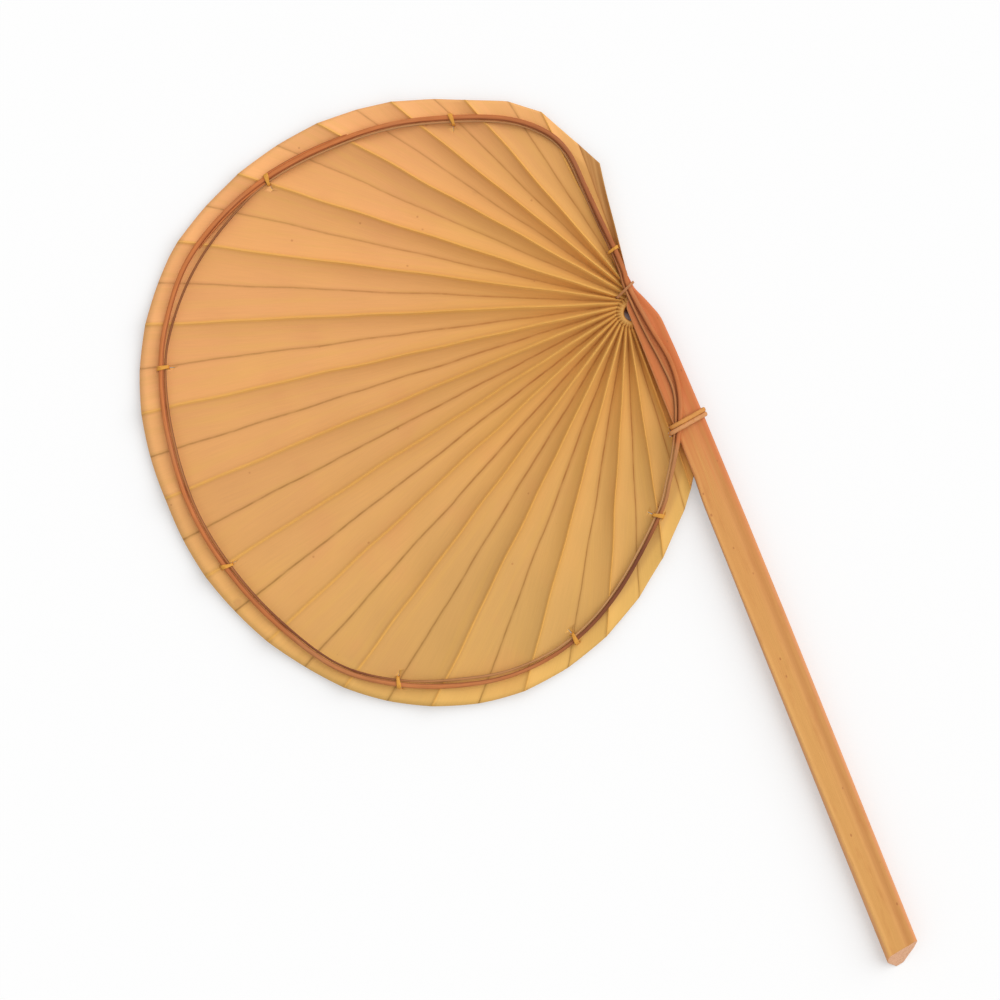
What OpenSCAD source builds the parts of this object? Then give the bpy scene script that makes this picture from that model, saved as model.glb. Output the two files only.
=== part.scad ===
// Pleated palm-leaf hand fan with its handle at the side.
// Millimetres. The fan lies on its back with its front face up (+Z) and its handle along Y.
// The origin is on the flat back of the grip, half way along it.

/* [Leaf] */
// Radius of the round that the leaf is trimmed to
leaf_r = 164; // [150:1:180]
// Distance from the middle of that round to the hub, across the handle
hub_offset = 117; // [105:1:125]
// Thickness of the leaf
leaf_t = 0.6; // [0.4:0.1:1]
// Number of folds, ridges and valleys together
fold_count = 36; // [28:2:40]
// Depth of the pleats near the rim, where the hoops press them flat
pleat_rim = 2.6; // [1.6:0.1:3.4]
// Depth of the pleats where they are deepest
pleat_mid = 5.2; // [4:0.1:6]
// Depth of the pleats where they start
pleat_first = 1.4; // [1:0.1:2.4]
// Radius at which the pleats leave the collar
pleat_start_r = 8.7; // [8:0.1:9.4]
// Width of the collar between the hole and the pleats
collar_w = 4.1; // [3:0.1:4.6]
// Width of the raised rib on each ridge
rib_w = 1; // [0.6:0.1:1.4]
// Height of that rib
rib_h = 0.3; // [0.1:0.05:0.5]

/* [Stalk] */
// Width of the stalk at the grip
stalk_w = 19.4; // [17:0.2:23]
// Thickness of the stalk at the grip
grip_t = 10.4; // [9.4:0.2:12]
// Thickness of the stalk at the neck, where it is lashed
neck_t = 5.4; // [4.6:0.2:6.4]
// Width of the flat back of the grip
keel_w = 7.6; // [6:0.2:9]
// Length of the stalk below the hub
stalk_l = 380.6; // [340:1:420]
// Length of the flat back of the grip, measured to its front edge
grip_l = 205; // [160:1:225]
// Slope of the cut at the butt, from square, in degrees
butt_slope = 28; // [0:1:35]
// Turn of that cut across the front, in degrees
butt_turn = 9; // [0:1:15]
// Width of the trimmed front left edge at the butt
trim_w = 1.9; // [0.8:0.1:2.4]

/* [Canes] */
// Width of the outer cane
outer_w = 2.8; // [2.2:0.1:3.4]
// Height of the outer cane
outer_h = 2.2; // [1.8:0.1:2.6]
// Width of the inner cane
inner_w = 1.6; // [1.2:0.1:2]
// Height of the inner cane
inner_h = 1.5; // [1.2:0.1:1.8]
// Clearance where a cane, a tie or the leaf seats on its neighbour
seat = 0.05; // [0.02:0.01:0.1]

/* [Ties] */
// Width of a tie, along the cane
tie_w = 2.2; // [1.6:0.1:3]
// Thickness of a tie
tie_t = 0.8; // [0.5:0.1:1]
// Thickness of the strand round the handle
lash_d = 1.9; // [1.5:0.1:2.1]
// Distance from one turn of that strand to the next
lash_pitch = 2.6; // [2.6:0.05:3.2]
// Number of turns of that strand
lash_turns = 2; // [1:1:4]

/* [Hidden] */
$fn = 48;

leaf_colour = [0.88, 0.65, 0.38];
collar_colour = [0.86, 0.66, 0.36];
stalk_colour = [0.84, 0.55, 0.30];
outer_colour = [0.66, 0.40, 0.24];
inner_colour = [0.45, 0.28, 0.20];
tie_colour = [0.86, 0.62, 0.25];

// Places in plan are measured from the hub, the point on which the pleats aim.
hub_x = -2.4;
hub_y = 275;
far = 60;

// Heights. The ties and the flat back of the grip lie in the plane z = 0.
pleat_at_cane = pleat_rim + 0.4;
leaf_z = tie_t + 2 * seat + outer_h + pleat_at_cane / 2 + leaf_t / 2;
floor_gap = 0.1;
neck_back = floor_gap + lash_d + outer_h + 2 * seat;
neck_front = neck_back + neck_t;
grip_end = grip_l - stalk_l;
neck_start = -80;
neck_end = -10;
head_end = 19.6;
// Height of the stalk's back and front along its length, as place and height
stalk_back_line = [
  [-stalk_l - far, 0], [grip_end, 0], [neck_start, neck_back], [neck_end, neck_back],
  [head_end, neck_back - 0.7]
];
stalk_front_line = [
  [-stalk_l - far, grip_t], [grip_end, grip_t], [neck_start, neck_front],
  [neck_end, neck_front - 0.3], [14, neck_front - 1.6], [head_end, neck_front - 2.4]
];

// Stalk outline. The leaf lies along its left edge.
neck_left = -1.9;
grip_left = -2.9;
grip_right = grip_left + stalk_w;
neck_right = grip_right - 1.1;
shoulder_right = neck_right - 1.7;
wedge_l = 14;
// Depth of the stalk's right flank, and how far it bulges from flat (0) to rounded (1)
flank_t = 0.92 * grip_t;
flank_bulge = 0.3;
front_bevel = 0.6;
// The trimmed edge starts here, and this share of its width is its depth
trim_start = -150;
trim_share = 0.9;

// Folds of the leaf: angles about the hub, in degrees. Ridges are even and valleys odd.
fold_middle = 169.7;
fold_half_sweep = 81;
fold_skew = -2;
fold_spread = 6.9;
fold_unevenness = [0.7, -0.7, -0.3, -0.3, 1.2, 0, 0.3, -0.5, -0.8, -0.5];
// The last three folds are bunched against the stalk.
bunched_folds = [263.3, 266.7, 268.8];
// Where the folds start, numbered as for 36 folds: first down the edge of the stalk's head, as
// number and place, and then round the collar, as number and angle
last_start = 35;
head_starts_end = 9.5;
head_starts = [[0, 4.6, 20.3], [2, 3.3, 17.3], [8, 0.5, 10.9], [9, -0.2, 9.8]];
collar_starts = [
  [10, 96], [12, 104], [16, 138], [20, 165], [24, 188], [28, 214], [32, 238], [35, 255]
];
// How far the trimmed rim strays from a true round, as angle and distance
rim_stray = [
  [80, -11], [86, -5.5], [92.5, 4.3], [99, 4.5], [106, 0.5], [140, 0.3], [151, 2.5],
  [165, 0], [180, -4.8], [195, -2.3], [205, 0.8], [214, 5.5], [226, 7.5], [232, 6.3],
  [244, -3], [250, -11.2], [256, -16.5], [263, -20.5], [268.8, -24.5]
];
// Middle of the round that the leaf is trimmed to
round_middle = [-hub_offset, -3];
// The canes press the pleats next to the handle flatter, as angle and share of the depth
pleat_press = [
  [80, 0.45], [98, 0.45], [112, 1], [240, 1], [255, 0.85], [266.7, 0.85], [268.8, 0.2]
];
// The pleats reach their full depth over the first eighth of their length.
pleat_grows = 8;
leaf_steps = 9;
// Points along each fold are closer together near the hub.
step_power = 1.3;
// A panel is nearly flat near the hub. Further out it is steep beside its ridge.
panel_bend = [1.05, 2.1];
bend_grows = 1.5;
// Place of the bend, as a share of the way from ridge to valley
bend_place = 0.38;
// The rib starts low at the collar, and takes no more than this share of a panel.
rib_first = 0.35;
rib_grows = 6;
rib_share = 0.28;
rib_foot_fade = 6;

// Route of the outer cane, from the hub round to the left and back up the stalk.
// Near the stalk each point is its place, how far it has climbed from leaf (0) to stalk (1),
// and the clear gap to the inner cane.
head_stretch = [
  [3.5, 14, 1, 0.2], [4.3, 23, 0.35, 0.2], [4.1, 36, 0, 0.2], [2.9, 52, 0, 0.2],
  [1.7, 74, 0, 0.2], [0.2, 95, 0, 0.2]
];
neck_stretch = [
  [-15, -93.5, 0.4, 0.2], [-6, -79.5, 0.95, 0.2], [-1.4, -71.5, 1, 0.2], [1.4, -66.5, 1, 0.2],
  [7.6, -50, 1, 0.8], [9.3, -32, 1, 2.6], [6, -10, 1, 1.6]
];
// The back canes stay low under the leaf and climb late.
back_lag = 80;
// Over the leaf each point is its angle about the middle of the leaf's round, its distance in
// from that round, and the clear gap to the inner cane.
hoop_stretch = [
  [46, 6.3, 0.2], [54, 6.4, 0.2], [65, 10.3, 0.2], [78, 12.3, 0.2], [92, 13.4, 0.2],
  [106, 11.7, 0.2], [118, 9.7, 2.4], [130, 8.2, 3.4], [141.5, 9.9, 1.6], [152, 11.9, 0.2],
  [166, 15.1, 0.2], [182, 15.9, 0.2], [197, 15.3, 0.2], [212, 12.2, 0.2], [227.5, 5.8, 0.2],
  [240.5, 5, 0.2], [254, 5.3, 1.2], [265.5, 6, 1], [278, 10.3, 0.2], [291.5, 17.7, 0.2],
  [310, 24.9, 0.2]
];
function round_place(a, inset) = round_middle + (leaf_r - inset) * [cos(a), sin(a)];
function hoop_point(h) = let (p = round_place(h[0], h[1])) [p[0], p[1], 0, h[2]];
cane_route = concat(head_stretch, [for (h = hoop_stretch) hoop_point(h)], neck_stretch);
route_n = len(cane_route);
// Places on that route where something is tied
at_crown = 0;
at_flap = 2;
hoop_first = len(head_stretch);
at_top = hoop_first + 2;
at_upper_left = hoop_first + 5;
at_left = hoop_first + 9;
at_lower_left = hoop_first + 12;
at_bottom = hoop_first + 15;
at_lower_right = hoop_first + 18;
at_right = hoop_first + 20;
at_lashing = hoop_first + len(hoop_stretch) + 3;
rim_tie_places = [
  at_flap, at_top, at_upper_left, at_left, at_lower_left, at_bottom, at_lower_right, at_right
];
cane_steps = 3;
cane_sides = 8;

// Ties
slit_gap = 0.15;
// Room for the bend of a cane inside a tie, and inside the lashing
tie_play = 0.1;
lash_play = 0.2;
slit_tail_l = 3.5;
slit_tail_w = 0.5;
tie_facets = 48;
// The crown tie crosses the canes at a slant and goes through the leaf at its left end.
crown_turn = 23;
crown_left = -8.1;
crown_right = 3.1;
crown_leaf_half = 1.8;

// Lashing: rings in one turn, sides of the strand, its lean, and the bend at each end
loop_rings = 24;
lash_sides = 6;
lash_lean = 0.08;
// Share of a turn from where the winding starts to the middle of the stalk's front
lash_front = 0.3;
lash_bend = 0.7;
lash_r = lash_d / 2;
// Direction in which the winding starts, towards the right edge of the stalk's back
lash_first = 285;

// Small helpers
function mix(a, b, t) = a + (b - a) * t;
function unit(v) = v / norm(v);
function flat(p) = [p[0], p[1]];
function in_frame(p) = [p[0] + hub_x, p[1] + hub_y];
function angle_of(p) = (atan2(p[1], p[0]) + 360) % 360;

// Leaf: the rim as seen from the hub, the folds and the depth of the pleats
function round_at(a) =
  let (d = round_middle * [cos(a), sin(a)])
  d + sqrt(d * d - round_middle * round_middle + leaf_r * leaf_r);
function rim_at(a) = round_at(a) + lookup(a, rim_stray);
function fold_nudge(i) = i < len(fold_unevenness) ? fold_unevenness[i] : 0;
function main_fold(i) =
  let (half = (fold_count - 4) / 2, x = (i - half) / half)
  fold_middle + fold_half_sweep * x + fold_skew * x * x + fold_spread * x * x * x + fold_nudge(i);
function fold_angle(i) = i > fold_count - 4 ? bunched_folds[i - fold_count + 3] : main_fold(i);
function head_start(n, k) = lookup(n, [for (h = head_starts) [h[0], h[k]]]);
function fold_start(i) =
  let (n = last_start * i / (fold_count - 1), a = lookup(n, collar_starts))
  n < head_starts_end ? [head_start(n, 1), head_start(n, 2)] : pleat_start_r * [cos(a), sin(a)];
function fold_end(i) = let (a = fold_angle(i)) rim_at(a) * [cos(a), sin(a)];
function pleat_depth(a, f) =
  let (g = min(max(f, 0), 1), even = mix(pleat_first, pleat_rim, min(pleat_grows * g, 1)))
  lookup(a, pleat_press) * (even + (pleat_mid - pleat_rim) * sin(180 * pow(g, 0.6)));
function fold_at(i, f) = mix(fold_start(i), fold_end(i), f);
function rib_height(f) = rib_h * min(max(rib_grows * f, rib_first), 1);
// Height of the leaf's middle sheet, from a ridge (away 0) to the next valley (away 1)
function sheet_lift(depth, f, away) =
  let (power = mix(panel_bend[0], panel_bend[1], min(bend_grows * f, 1)))
  depth * (pow(1 - away, power) - 0.5) - rib_height(f) * pow(1 - away, rib_foot_fade);

// Each panel has columns at its ridge, at the foot of the rib and at its bend.
function column_away(k, width) = [0, min(rib_w / 2 / width, rib_share), bend_place][k];
function column_point(c, f, side) =
  let (
    i = floor(c / 3),
    k = c % 3,
    ridge_first = i % 2 == 0,
    next = min(i + 1, fold_count - 1),
    width = max(norm(fold_at(next, f) - fold_at(i, f)), 0.01),
    away = ridge_first ? column_away(k, width) : k == 0 ? 1 : column_away(3 - k, width),
    part = ridge_first ? away : 1 - away,
    p = in_frame(mix(fold_at(i, f), fold_at(next, f), part)),
    depth = mix(pleat_depth(fold_angle(i), f), pleat_depth(fold_angle(next), f), part),
    rib = side > 0 && away == 0 ? rib_height(f) : 0
  )
  [p[0], p[1], leaf_z + sheet_lift(depth, f, away) + rib + side * leaf_t / 2];

// Height of the ridges (side 1) or of the valleys' backs (side -1) at a place in plan
function leaf_level(p, side) =
  let (a = angle_of(p), f = (norm(p) - pleat_start_r) / (rim_at(a) - pleat_start_r))
  leaf_z + side * (pleat_depth(a, f) + leaf_t) / 2;
function stalk_level(p, side) = lookup(p[1], side > 0 ? stalk_front_line : stalk_back_line);
function climb(c, side) = side > 0 ? c : pow(c, back_lag);
function cane_level(p, c, side) =
  mix(leaf_level(p, side), stalk_level(p, side), climb(c, side));

// Routes of the canes
function route_point(i) = cane_route[(i + route_n) % route_n];
function route_along(i) = unit(flat(route_point(i + 1)) - flat(route_point(i - 1)));
// The inner cane lies to the left of the outer one, as it goes round.
function route_inward(i) = let (t = route_along(i)) [-t[1], t[0]];
function cane_spacing(i) = (outer_w + inner_w) / 2 + route_point(i)[3];
function cane_point(i, inner, side) =
  let (
    c = route_point(i),
    p = flat(c) + (inner ? cane_spacing(i) : 0) * route_inward(i),
    h = inner ? inner_h : outer_h,
    q = in_frame(p)
  )
  [q[0], q[1], cane_level(p, c[2], side) + side * (seat + h / 2)];

// Smooth curve through b and c, whose height stays between theirs
function curve_at(a, b, c, d, t) =
  let (
    p = 0.5 * (2 * b + (c - a) * t + (2 * a - 5 * b + 4 * c - d) * t * t
      + (3 * b - a - 3 * c + d) * t * t * t)
  )
  [p[0], p[1], min(max(p[2], min(b[2], c[2])), max(b[2], c[2]))];
function cane_curve(inner, side) = [
  for (i = [0:route_n - 1])
    let (
      a = cane_point(i - 1, inner, side), b = cane_point(i, inner, side),
      c = cane_point(i + 1, inner, side), d = cane_point(i + 2, inner, side)
    )
    for (s = [0:cane_steps - 1]) curve_at(a, b, c, d, s / cane_steps)
];

// A taut loop round some ovals in its own plane. An oval is its middle and its half sizes.
function corner(x, z) = [x, z, 0, 0];
function oval_edge(o, d) =
  let (m = max(norm([o[2] * d[0], o[3] * d[1]]), 0.001))
  [o[0] + o[2] * o[2] * d[0] / m, o[1] + o[3] * o[3] * d[1] / m];
function farthest(ovals, d) =
  let (edges = [for (o = ovals) oval_edge(o, d)], reach = [for (e = edges) e * d])
  edges[search(max(reach), reach)[0]];
function taut_point(ovals, r, a) =
  let (d = [cos(a), sin(a)]) farthest(ovals, d) + r * d;
function taut_loop(ovals, r, n) = [for (k = [0:n - 1]) taut_point(ovals, r, 360 * k / n)];

// Ovals of the four canes where a tie crosses them, turned by an angle from square.
// The tie's own width adds to what it has to clear.
function crossing(i, inner, side, turn) =
  let (
    z = cane_point(i, inner, side)[2],
    w = inner ? inner_w : outer_w,
    x = inner ? cane_spacing(i) : 0
  )
  [
    x / cos(turn), z, (w + tie_w * sin(turn)) / 2 / cos(turn) + tie_play,
    (inner ? inner_h : outer_h) / 2
  ];
function crossings(i, turn) = [
  for (side = [1, -1]) for (inner = [false, true]) crossing(i, inner, side, turn)
];

// The crown tie also goes round the stalk's head and through the leaf. Its X runs outward.
crown_stalk = [for (side = [1, -1]) stalk_level(cane_route[at_crown], side) + side * seat];
crown_ovals = concat(
  [for (o = crossings(at_crown, crown_turn)) [-o[0], o[1], o[2] + seat, o[3] + 2 * tie_play]],
  [for (z = crown_stalk) corner(crown_right, z)],
  [for (side = [1, -1]) corner(crown_left, leaf_z + side * crown_leaf_half)]
);

// Right flank of the stalk's section, from the flat back up, as height and X
flank_steps = 6;
flank_right = grip_right + hub_x;
section_right = [
  for (k = [0:flank_steps])
    let (a = 90 * k / flank_steps, rise = 1 - cos(a))
    [flank_t * rise, mix(keel_w / 2, flank_right, mix(rise, sin(a), flank_bulge))]
];

// What the lashing goes round, as X and Z. The canes cross it at a slant.
lash_at = flat(route_point(at_lashing));
lash_along = unit(lash_at - flat(route_point(at_lashing - 1)));
lash_mid_x = (neck_left + neck_right) / 2 + hub_x;
lash_left_x = neck_left + hub_x;
lash_right_x = neck_right + hub_x;
lash_y = hub_y + lash_at[1] + lash_pitch * ((lash_turns - 1) / 2 + lash_front);
function lash_cane(inner, side, y) =
  let (
    near = [for (i = [at_lashing - 2:at_lashing + 1]) cane_point(i, inner, side)],
    w = inner ? inner_w : outer_w,
    h = inner ? inner_h : outer_h
  )
  [
    lookup(y, [for (p = near) [p[1], p[0]]]), lookup(y, [for (p = near) [p[1], p[2]]]),
    w / 2 / lash_along[1] + lash_play, h / 2 + tie_play
  ];
function lash_ovals(y) = concat(
  [for (side = [1, -1]) for (inner = [false, true]) lash_cane(inner, side, y)],
  [
    corner(lash_left_x, neck_front), corner(lash_left_x, neck_back),
    corner(lash_right_x + lash_play, neck_front),
    corner(min(lash_right_x, lookup(neck_back, section_right)) + lash_play, neck_back),
    corner(lash_right_x + lash_play, lookup(lash_right_x, [for (p = section_right) [p[1], p[0]]]))
  ],
  [
    for (p = section_right)
      if (p[0] > neck_back && p[0] < neck_front)
        corner(min(lash_right_x, p[1]) + lash_play, p[0])
  ]
);
function lash_flat(k) =
  let (y = lash_y - lash_pitch * k / loop_rings + lash_lean * (lash_left_x - lash_mid_x))
  taut_point(lash_ovals(y), lash_r + seat, lash_first + 360 * k / loop_rings);
lash_last = loop_rings * lash_turns - 1;
lash_loops = [for (k = [0:lash_last]) lash_flat(k)];
function travel(k) = k < 1 ? 0 : travel(k - 1) + norm(lash_loops[k] - lash_loops[k - 1]);
lash_girth = travel(loop_rings);
function lash_place(q, gone) = [
  q[0], lash_y - lash_pitch * gone / lash_girth + lash_lean * (q[0] - lash_mid_x), q[1]
];
// Each end leaves the span under the back canes and turns square up to the stalk's back.
stub_top = neck_back - seat;
stub_foot = stub_top - lash_d;
first_run = lash_loops[0] - lash_flat(-1);
first_turn = lash_flat(-1) + first_run * (stub_foot - lash_bend - lash_flat(-1)[1]) / first_run[1];
last_run = lash_flat(lash_last + 1) - lash_loops[lash_last];
last_turn = lash_loops[lash_last]
  + last_run * (stub_foot - lash_bend - lash_loops[lash_last][1]) / last_run[1];
first_gone = -norm(lash_loops[0] - first_turn);
last_gone = travel(lash_last) + norm(last_turn - lash_loops[lash_last]);
function stub_point(q, z, gone) = let (p = lash_place(q, gone)) [p[0], p[1], z];
lash_path = concat(
  [
    stub_point(first_turn, stub_top, first_gone), stub_point(first_turn, stub_foot, first_gone),
    lash_place(first_turn + lash_bend * unit(first_run), first_gone + lash_bend)
  ],
  [for (k = [0:lash_last]) lash_place(lash_loops[k], travel(k))],
  [
    lash_place(last_turn - lash_bend * unit(last_run), last_gone - lash_bend),
    stub_point(last_turn, stub_foot, last_gone), stub_point(last_turn, stub_top, last_gone)
  ]
);

// Least gap of the lashing to itself, between points over half a turn apart
function self_gap(path, apart) = min([
  for (i = [0:len(path) - 1])
    for (j = [i + apart:1:len(path) - 1]) norm(path[i] - path[j])
]);
echo(lashing_gap = self_gap(lash_path, loop_rings / 2) - lash_d);

// Tube of an oval section along a path
module tube(path, w, h, sides, closed, up) {
  n = len(path);
  rings = [
    for (i = [0:n - 1])
      let (
        before = closed ? path[(i + n - 1) % n] : path[max(i - 1, 0)],
        after = closed ? path[(i + 1) % n] : path[min(i + 1, n - 1)],
        along = unit(after - before),
        across = unit(cross(along, up)),
        over = cross(across, along)
      )
      for (k = [0:sides - 1])
        path[i] + across * (w / 2) * cos(360 * k / sides) + over * (h / 2) * sin(360 * k / sides)
  ];
  spans = closed ? n : n - 1;
  walls = [
    for (i = [0:spans - 1])
      for (k = [0:sides - 1])
        let (a = i * sides + k, b = i * sides + (k + 1) % sides, m = n * sides)
        for (t = [[a, b, (a + sides) % m], [b, (b + sides) % m, (a + sides) % m]]) t
  ];
  caps = closed ? [] : concat(
    [for (k = [1:sides - 2]) [0, k + 1, k]],
    [for (k = [1:sides - 2]) (n - 1) * sides * [1, 1, 1] + [0, k, k + 1]]
  );
  polyhedron(points = rings, faces = concat(walls, caps), convexity = 10);
}

module cane(inner, side) {
  tube(
    cane_curve(inner, side), inner ? inner_w : outer_w, inner ? inner_h : outer_h,
    cane_sides, true, [0, 0, 1]
  );
}

module leaf_sheet() {
  rows = leaf_steps + 1;
  columns = 3 * (fold_count - 1) + 1;
  half = columns * rows;
  points = [
    for (side = [1, -1])
      for (c = [0:columns - 1])
        for (j = [0:leaf_steps]) column_point(c, pow(j / leaf_steps, step_power), side)
  ];
  top = [
    for (i = [0:columns - 2])
      for (j = [0:leaf_steps - 1])
        let (a = i * rows + j, b = a + 1, c = a + rows, d = c + 1)
        for (t = [[a, c, b], [b, c, d]]) t
  ];
  back = [for (t = top) [t[0] + half, t[2] + half, t[1] + half]];
  // Border of the sheet, once round: first fold, rim, last fold, collar
  border = concat(
    [for (j = [0:leaf_steps]) j],
    [for (i = [1:columns - 1]) i * rows + leaf_steps],
    [for (j = [leaf_steps - 1:-1:0]) (columns - 1) * rows + j],
    [for (i = [columns - 2:-1:1]) i * rows]
  );
  n = len(border);
  edge = [
    for (k = [0:n - 1])
      let (a = border[k], b = border[(k + 1) % n])
      for (t = [[a, b, a + half], [b, b + half, a + half]]) t
  ];
  polyhedron(points = points, faces = concat(top, back, edge), convexity = 20);
}

// Puts its children on the route: X runs inward across the canes, and Y along them
module on_route(i) {
  p = in_frame(flat(route_point(i)));
  inward = route_inward(i);
  translate([p[0], p[1], 0])
    rotate([0, 0, atan2(inward[1], inward[0])])
      children();
}

// Slits in the leaf for one tie, with the short tear that runs on from the inner one
module tie_slits(i) {
  inner_edge = cane_spacing(i) + inner_w / 2 + seat;
  length = tie_t + 2 * slit_gap;
  on_route(i) {
    for (x = [-outer_w / 2 - seat - tie_t - slit_gap, inner_edge - slit_gap])
      translate([x, -tie_w / 2 - slit_gap, -1])
        cube([length, tie_w + 2 * slit_gap, leaf_z + far]);
    translate([inner_edge, -slit_tail_w / 2, -1])
      cube([length + slit_tail_l, slit_tail_w, leaf_z + far]);
  }
}

module crown_place() {
  p = in_frame(flat(route_point(at_crown)));
  translate([p[0], p[1], 0])
    rotate([0, 0, crown_turn])
      children();
}

module crown_slit() {
  crown_place()
    translate([crown_left - seat - tie_t - slit_gap, -tie_w / 2 - slit_gap, -1])
      cube([tie_t + 2 * slit_gap, tie_w + 2 * slit_gap, leaf_z + far]);
}

// Notch in the leaf's edge, where the lashing goes down beside the stalk
module lashing_notch() {
  beside = [for (p = lash_path) if (p[0] < lash_left_x) p];
  left = min([for (p = beside) p[0]]) - lash_r - slit_gap;
  low = min([for (p = beside) p[1]]) - lash_r - slit_gap;
  high = max([for (p = beside) p[1]]) + lash_r + slit_gap;
  translate([left, low, -1])
    cube([lash_left_x - left, high - low, leaf_z + far]);
}

module stalk_plan() {
  butt = -stalk_l - far;
  leaf_foot = rim_at(fold_angle(fold_count - 1)) + 1.2;
  polygon([
    for (p = [
      [grip_left, butt], [grip_right, butt], [grip_right, -200], [neck_right + 0.6, -127],
      [neck_right, -65], [shoulder_right + 0.9, -27], [shoulder_right, -7.3], [9.5, 4.5],
      [6.2, 12], [5.3, head_end], [4.5, 17.5], [2.7, 13], [1, 8.4], [neck_left, 4],
      [neck_left, -leaf_foot], [grip_left, -leaf_foot - wedge_l]
    ]) in_frame(p)
  ]);
}

// Profile from the side, as Y and Z
module stalk_side() {
  polygon(concat(
    [for (p = stalk_back_line) [p[0] + hub_y, p[1]]],
    [for (k = [len(stalk_front_line) - 1:-1:0])
      [stalk_front_line[k][0] + hub_y, stalk_front_line[k][1]]]
  ));
}

// Section across, as X and Z: flat front, keeled back
module stalk_section() {
  left = grip_left + hub_x;
  polygon(concat(
    [[-keel_w / 2, 0]],
    [for (p = section_right) [p[1], p[0]]],
    [
      [flank_right - 0.5, grip_t - front_bevel], [flank_right - 1.6, grip_t],
      [left + front_bevel, grip_t], [left, grip_t - front_bevel], [left, 0.5 * grip_t]
    ]
  ));
}

module stalk_handle() {
  color(stalk_colour)
    difference() {
      intersection() {
        translate([0, 0, -1])
          linear_extrude(far)
            stalk_plan();
        translate([-far, 0, 0])
          rotate([90, 0, 90])
            linear_extrude(2 * far)
              stalk_side();
        translate([0, hub_y + far, 0])
          rotate([90, 0, 0])
            linear_extrude(stalk_l + 3 * far)
              stalk_section();
      }
      // Slanting cut at the butt
      translate([0, hub_y - stalk_l, grip_t])
        rotate([-butt_slope, 0, butt_turn])
          translate([-far, -3 * far, -2 * far])
            cube([2 * far, 3 * far, 3 * far]);
      edge_trim();
    }
}

// Wedge that takes the front left edge off the grip, wider and wider towards the butt
module edge_trim() {
  grow = (-stalk_l - far - trim_start) / (-stalk_l - trim_start);
  low = hub_y - stalk_l - far;
  left = grip_left + hub_x;
  clear = 3;
  polyhedron(
    points = [
      [left, hub_y + trim_start, grip_t], [left + trim_w * grow, low, grip_t],
      [left, low, grip_t - trim_share * trim_w * grow], [left - clear, low, grip_t + clear]
    ],
    faces = [[0, 2, 1], [0, 1, 3], [0, 3, 2], [1, 2, 3]]
  );
}

module palm_leaf() {
  color(leaf_colour)
    difference() {
      leaf_sheet();
      for (i = rim_tie_places)
        tie_slits(i);
      crown_slit();
      lashing_notch();
    }
}

module leaf_collar() {
  r_out = pleat_start_r - 2 * seat;
  r_in = r_out - collar_w;
  half = (pleat_rim + leaf_t) / 2;
  crown = 0.35 * half;
  color(collar_colour)
    difference() {
      translate([hub_x, hub_y, leaf_z])
        rotate([0, 0, 90])
          rotate_extrude(angle = 165, $fn = 96)
            polygon([
              [r_in, -half + crown], [r_in + 0.8, -half], [r_out - 0.6, -half],
              [r_out, -half + crown], [r_out, half - crown], [r_out - 0.6, half],
              [r_in + 0.8, half], [r_in, half - crown]
            ]);
      translate([-2 * seat, 0, -1])
        linear_extrude(far)
          stalk_plan();
    }
}

module tie_ring(ovals) {
  rotate([90, 0, 0])
    linear_extrude(tie_w, center = true)
      difference() {
        polygon(taut_loop(ovals, seat + tie_t, tie_facets));
        polygon(taut_loop(ovals, seat, tie_facets));
      }
}

module rim_tie(i) {
  color(tie_colour)
    on_route(i)
      tie_ring(crossings(i, 0));
}

module crown_tie() {
  color(tie_colour)
    crown_place()
      tie_ring(crown_ovals);
}

module handle_lashing() {
  color(tie_colour)
    tube(lash_path, lash_d, lash_d, lash_sides, false, [0, 1, 0]);
}

stalk_handle();
palm_leaf();
leaf_collar();
color(outer_colour) cane(false, 1);  // front_outer_cane
color(inner_colour) cane(true, 1);  // front_inner_cane
color(outer_colour) cane(false, -1);  // back_outer_cane
color(inner_colour) cane(true, -1);  // back_inner_cane
rim_tie(at_top);  // rim_tie_top
rim_tie(at_upper_left);  // rim_tie_upper_left
rim_tie(at_left);  // rim_tie_left
rim_tie(at_lower_left);  // rim_tie_lower_left
rim_tie(at_bottom);  // rim_tie_bottom
rim_tie(at_lower_right);  // rim_tie_lower_right
rim_tie(at_right);  // rim_tie_right
rim_tie(at_flap);  // flap_tie
crown_tie();
handle_lashing();
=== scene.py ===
"""Pleated palm-leaf hand fan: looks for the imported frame.

Lengths are worked out in millimetres, as in the part's source, and become metres when a mesh is made.
"""
import math

import bpy
import numpy as np
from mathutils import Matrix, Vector


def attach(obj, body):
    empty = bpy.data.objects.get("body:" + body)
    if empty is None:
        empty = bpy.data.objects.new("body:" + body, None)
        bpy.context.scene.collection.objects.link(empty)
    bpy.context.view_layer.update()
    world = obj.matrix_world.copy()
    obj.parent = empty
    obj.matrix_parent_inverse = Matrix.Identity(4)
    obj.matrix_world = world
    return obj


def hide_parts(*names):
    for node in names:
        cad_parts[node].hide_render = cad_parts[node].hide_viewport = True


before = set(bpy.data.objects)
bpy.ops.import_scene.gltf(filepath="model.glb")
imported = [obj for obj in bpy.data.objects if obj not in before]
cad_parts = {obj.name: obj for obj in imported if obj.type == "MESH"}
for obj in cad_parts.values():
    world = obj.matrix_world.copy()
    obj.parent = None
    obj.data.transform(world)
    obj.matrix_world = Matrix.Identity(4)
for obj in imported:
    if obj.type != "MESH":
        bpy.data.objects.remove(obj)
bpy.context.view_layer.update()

MM = 0.001
HUB = np.array([-2.4, 275])

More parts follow.
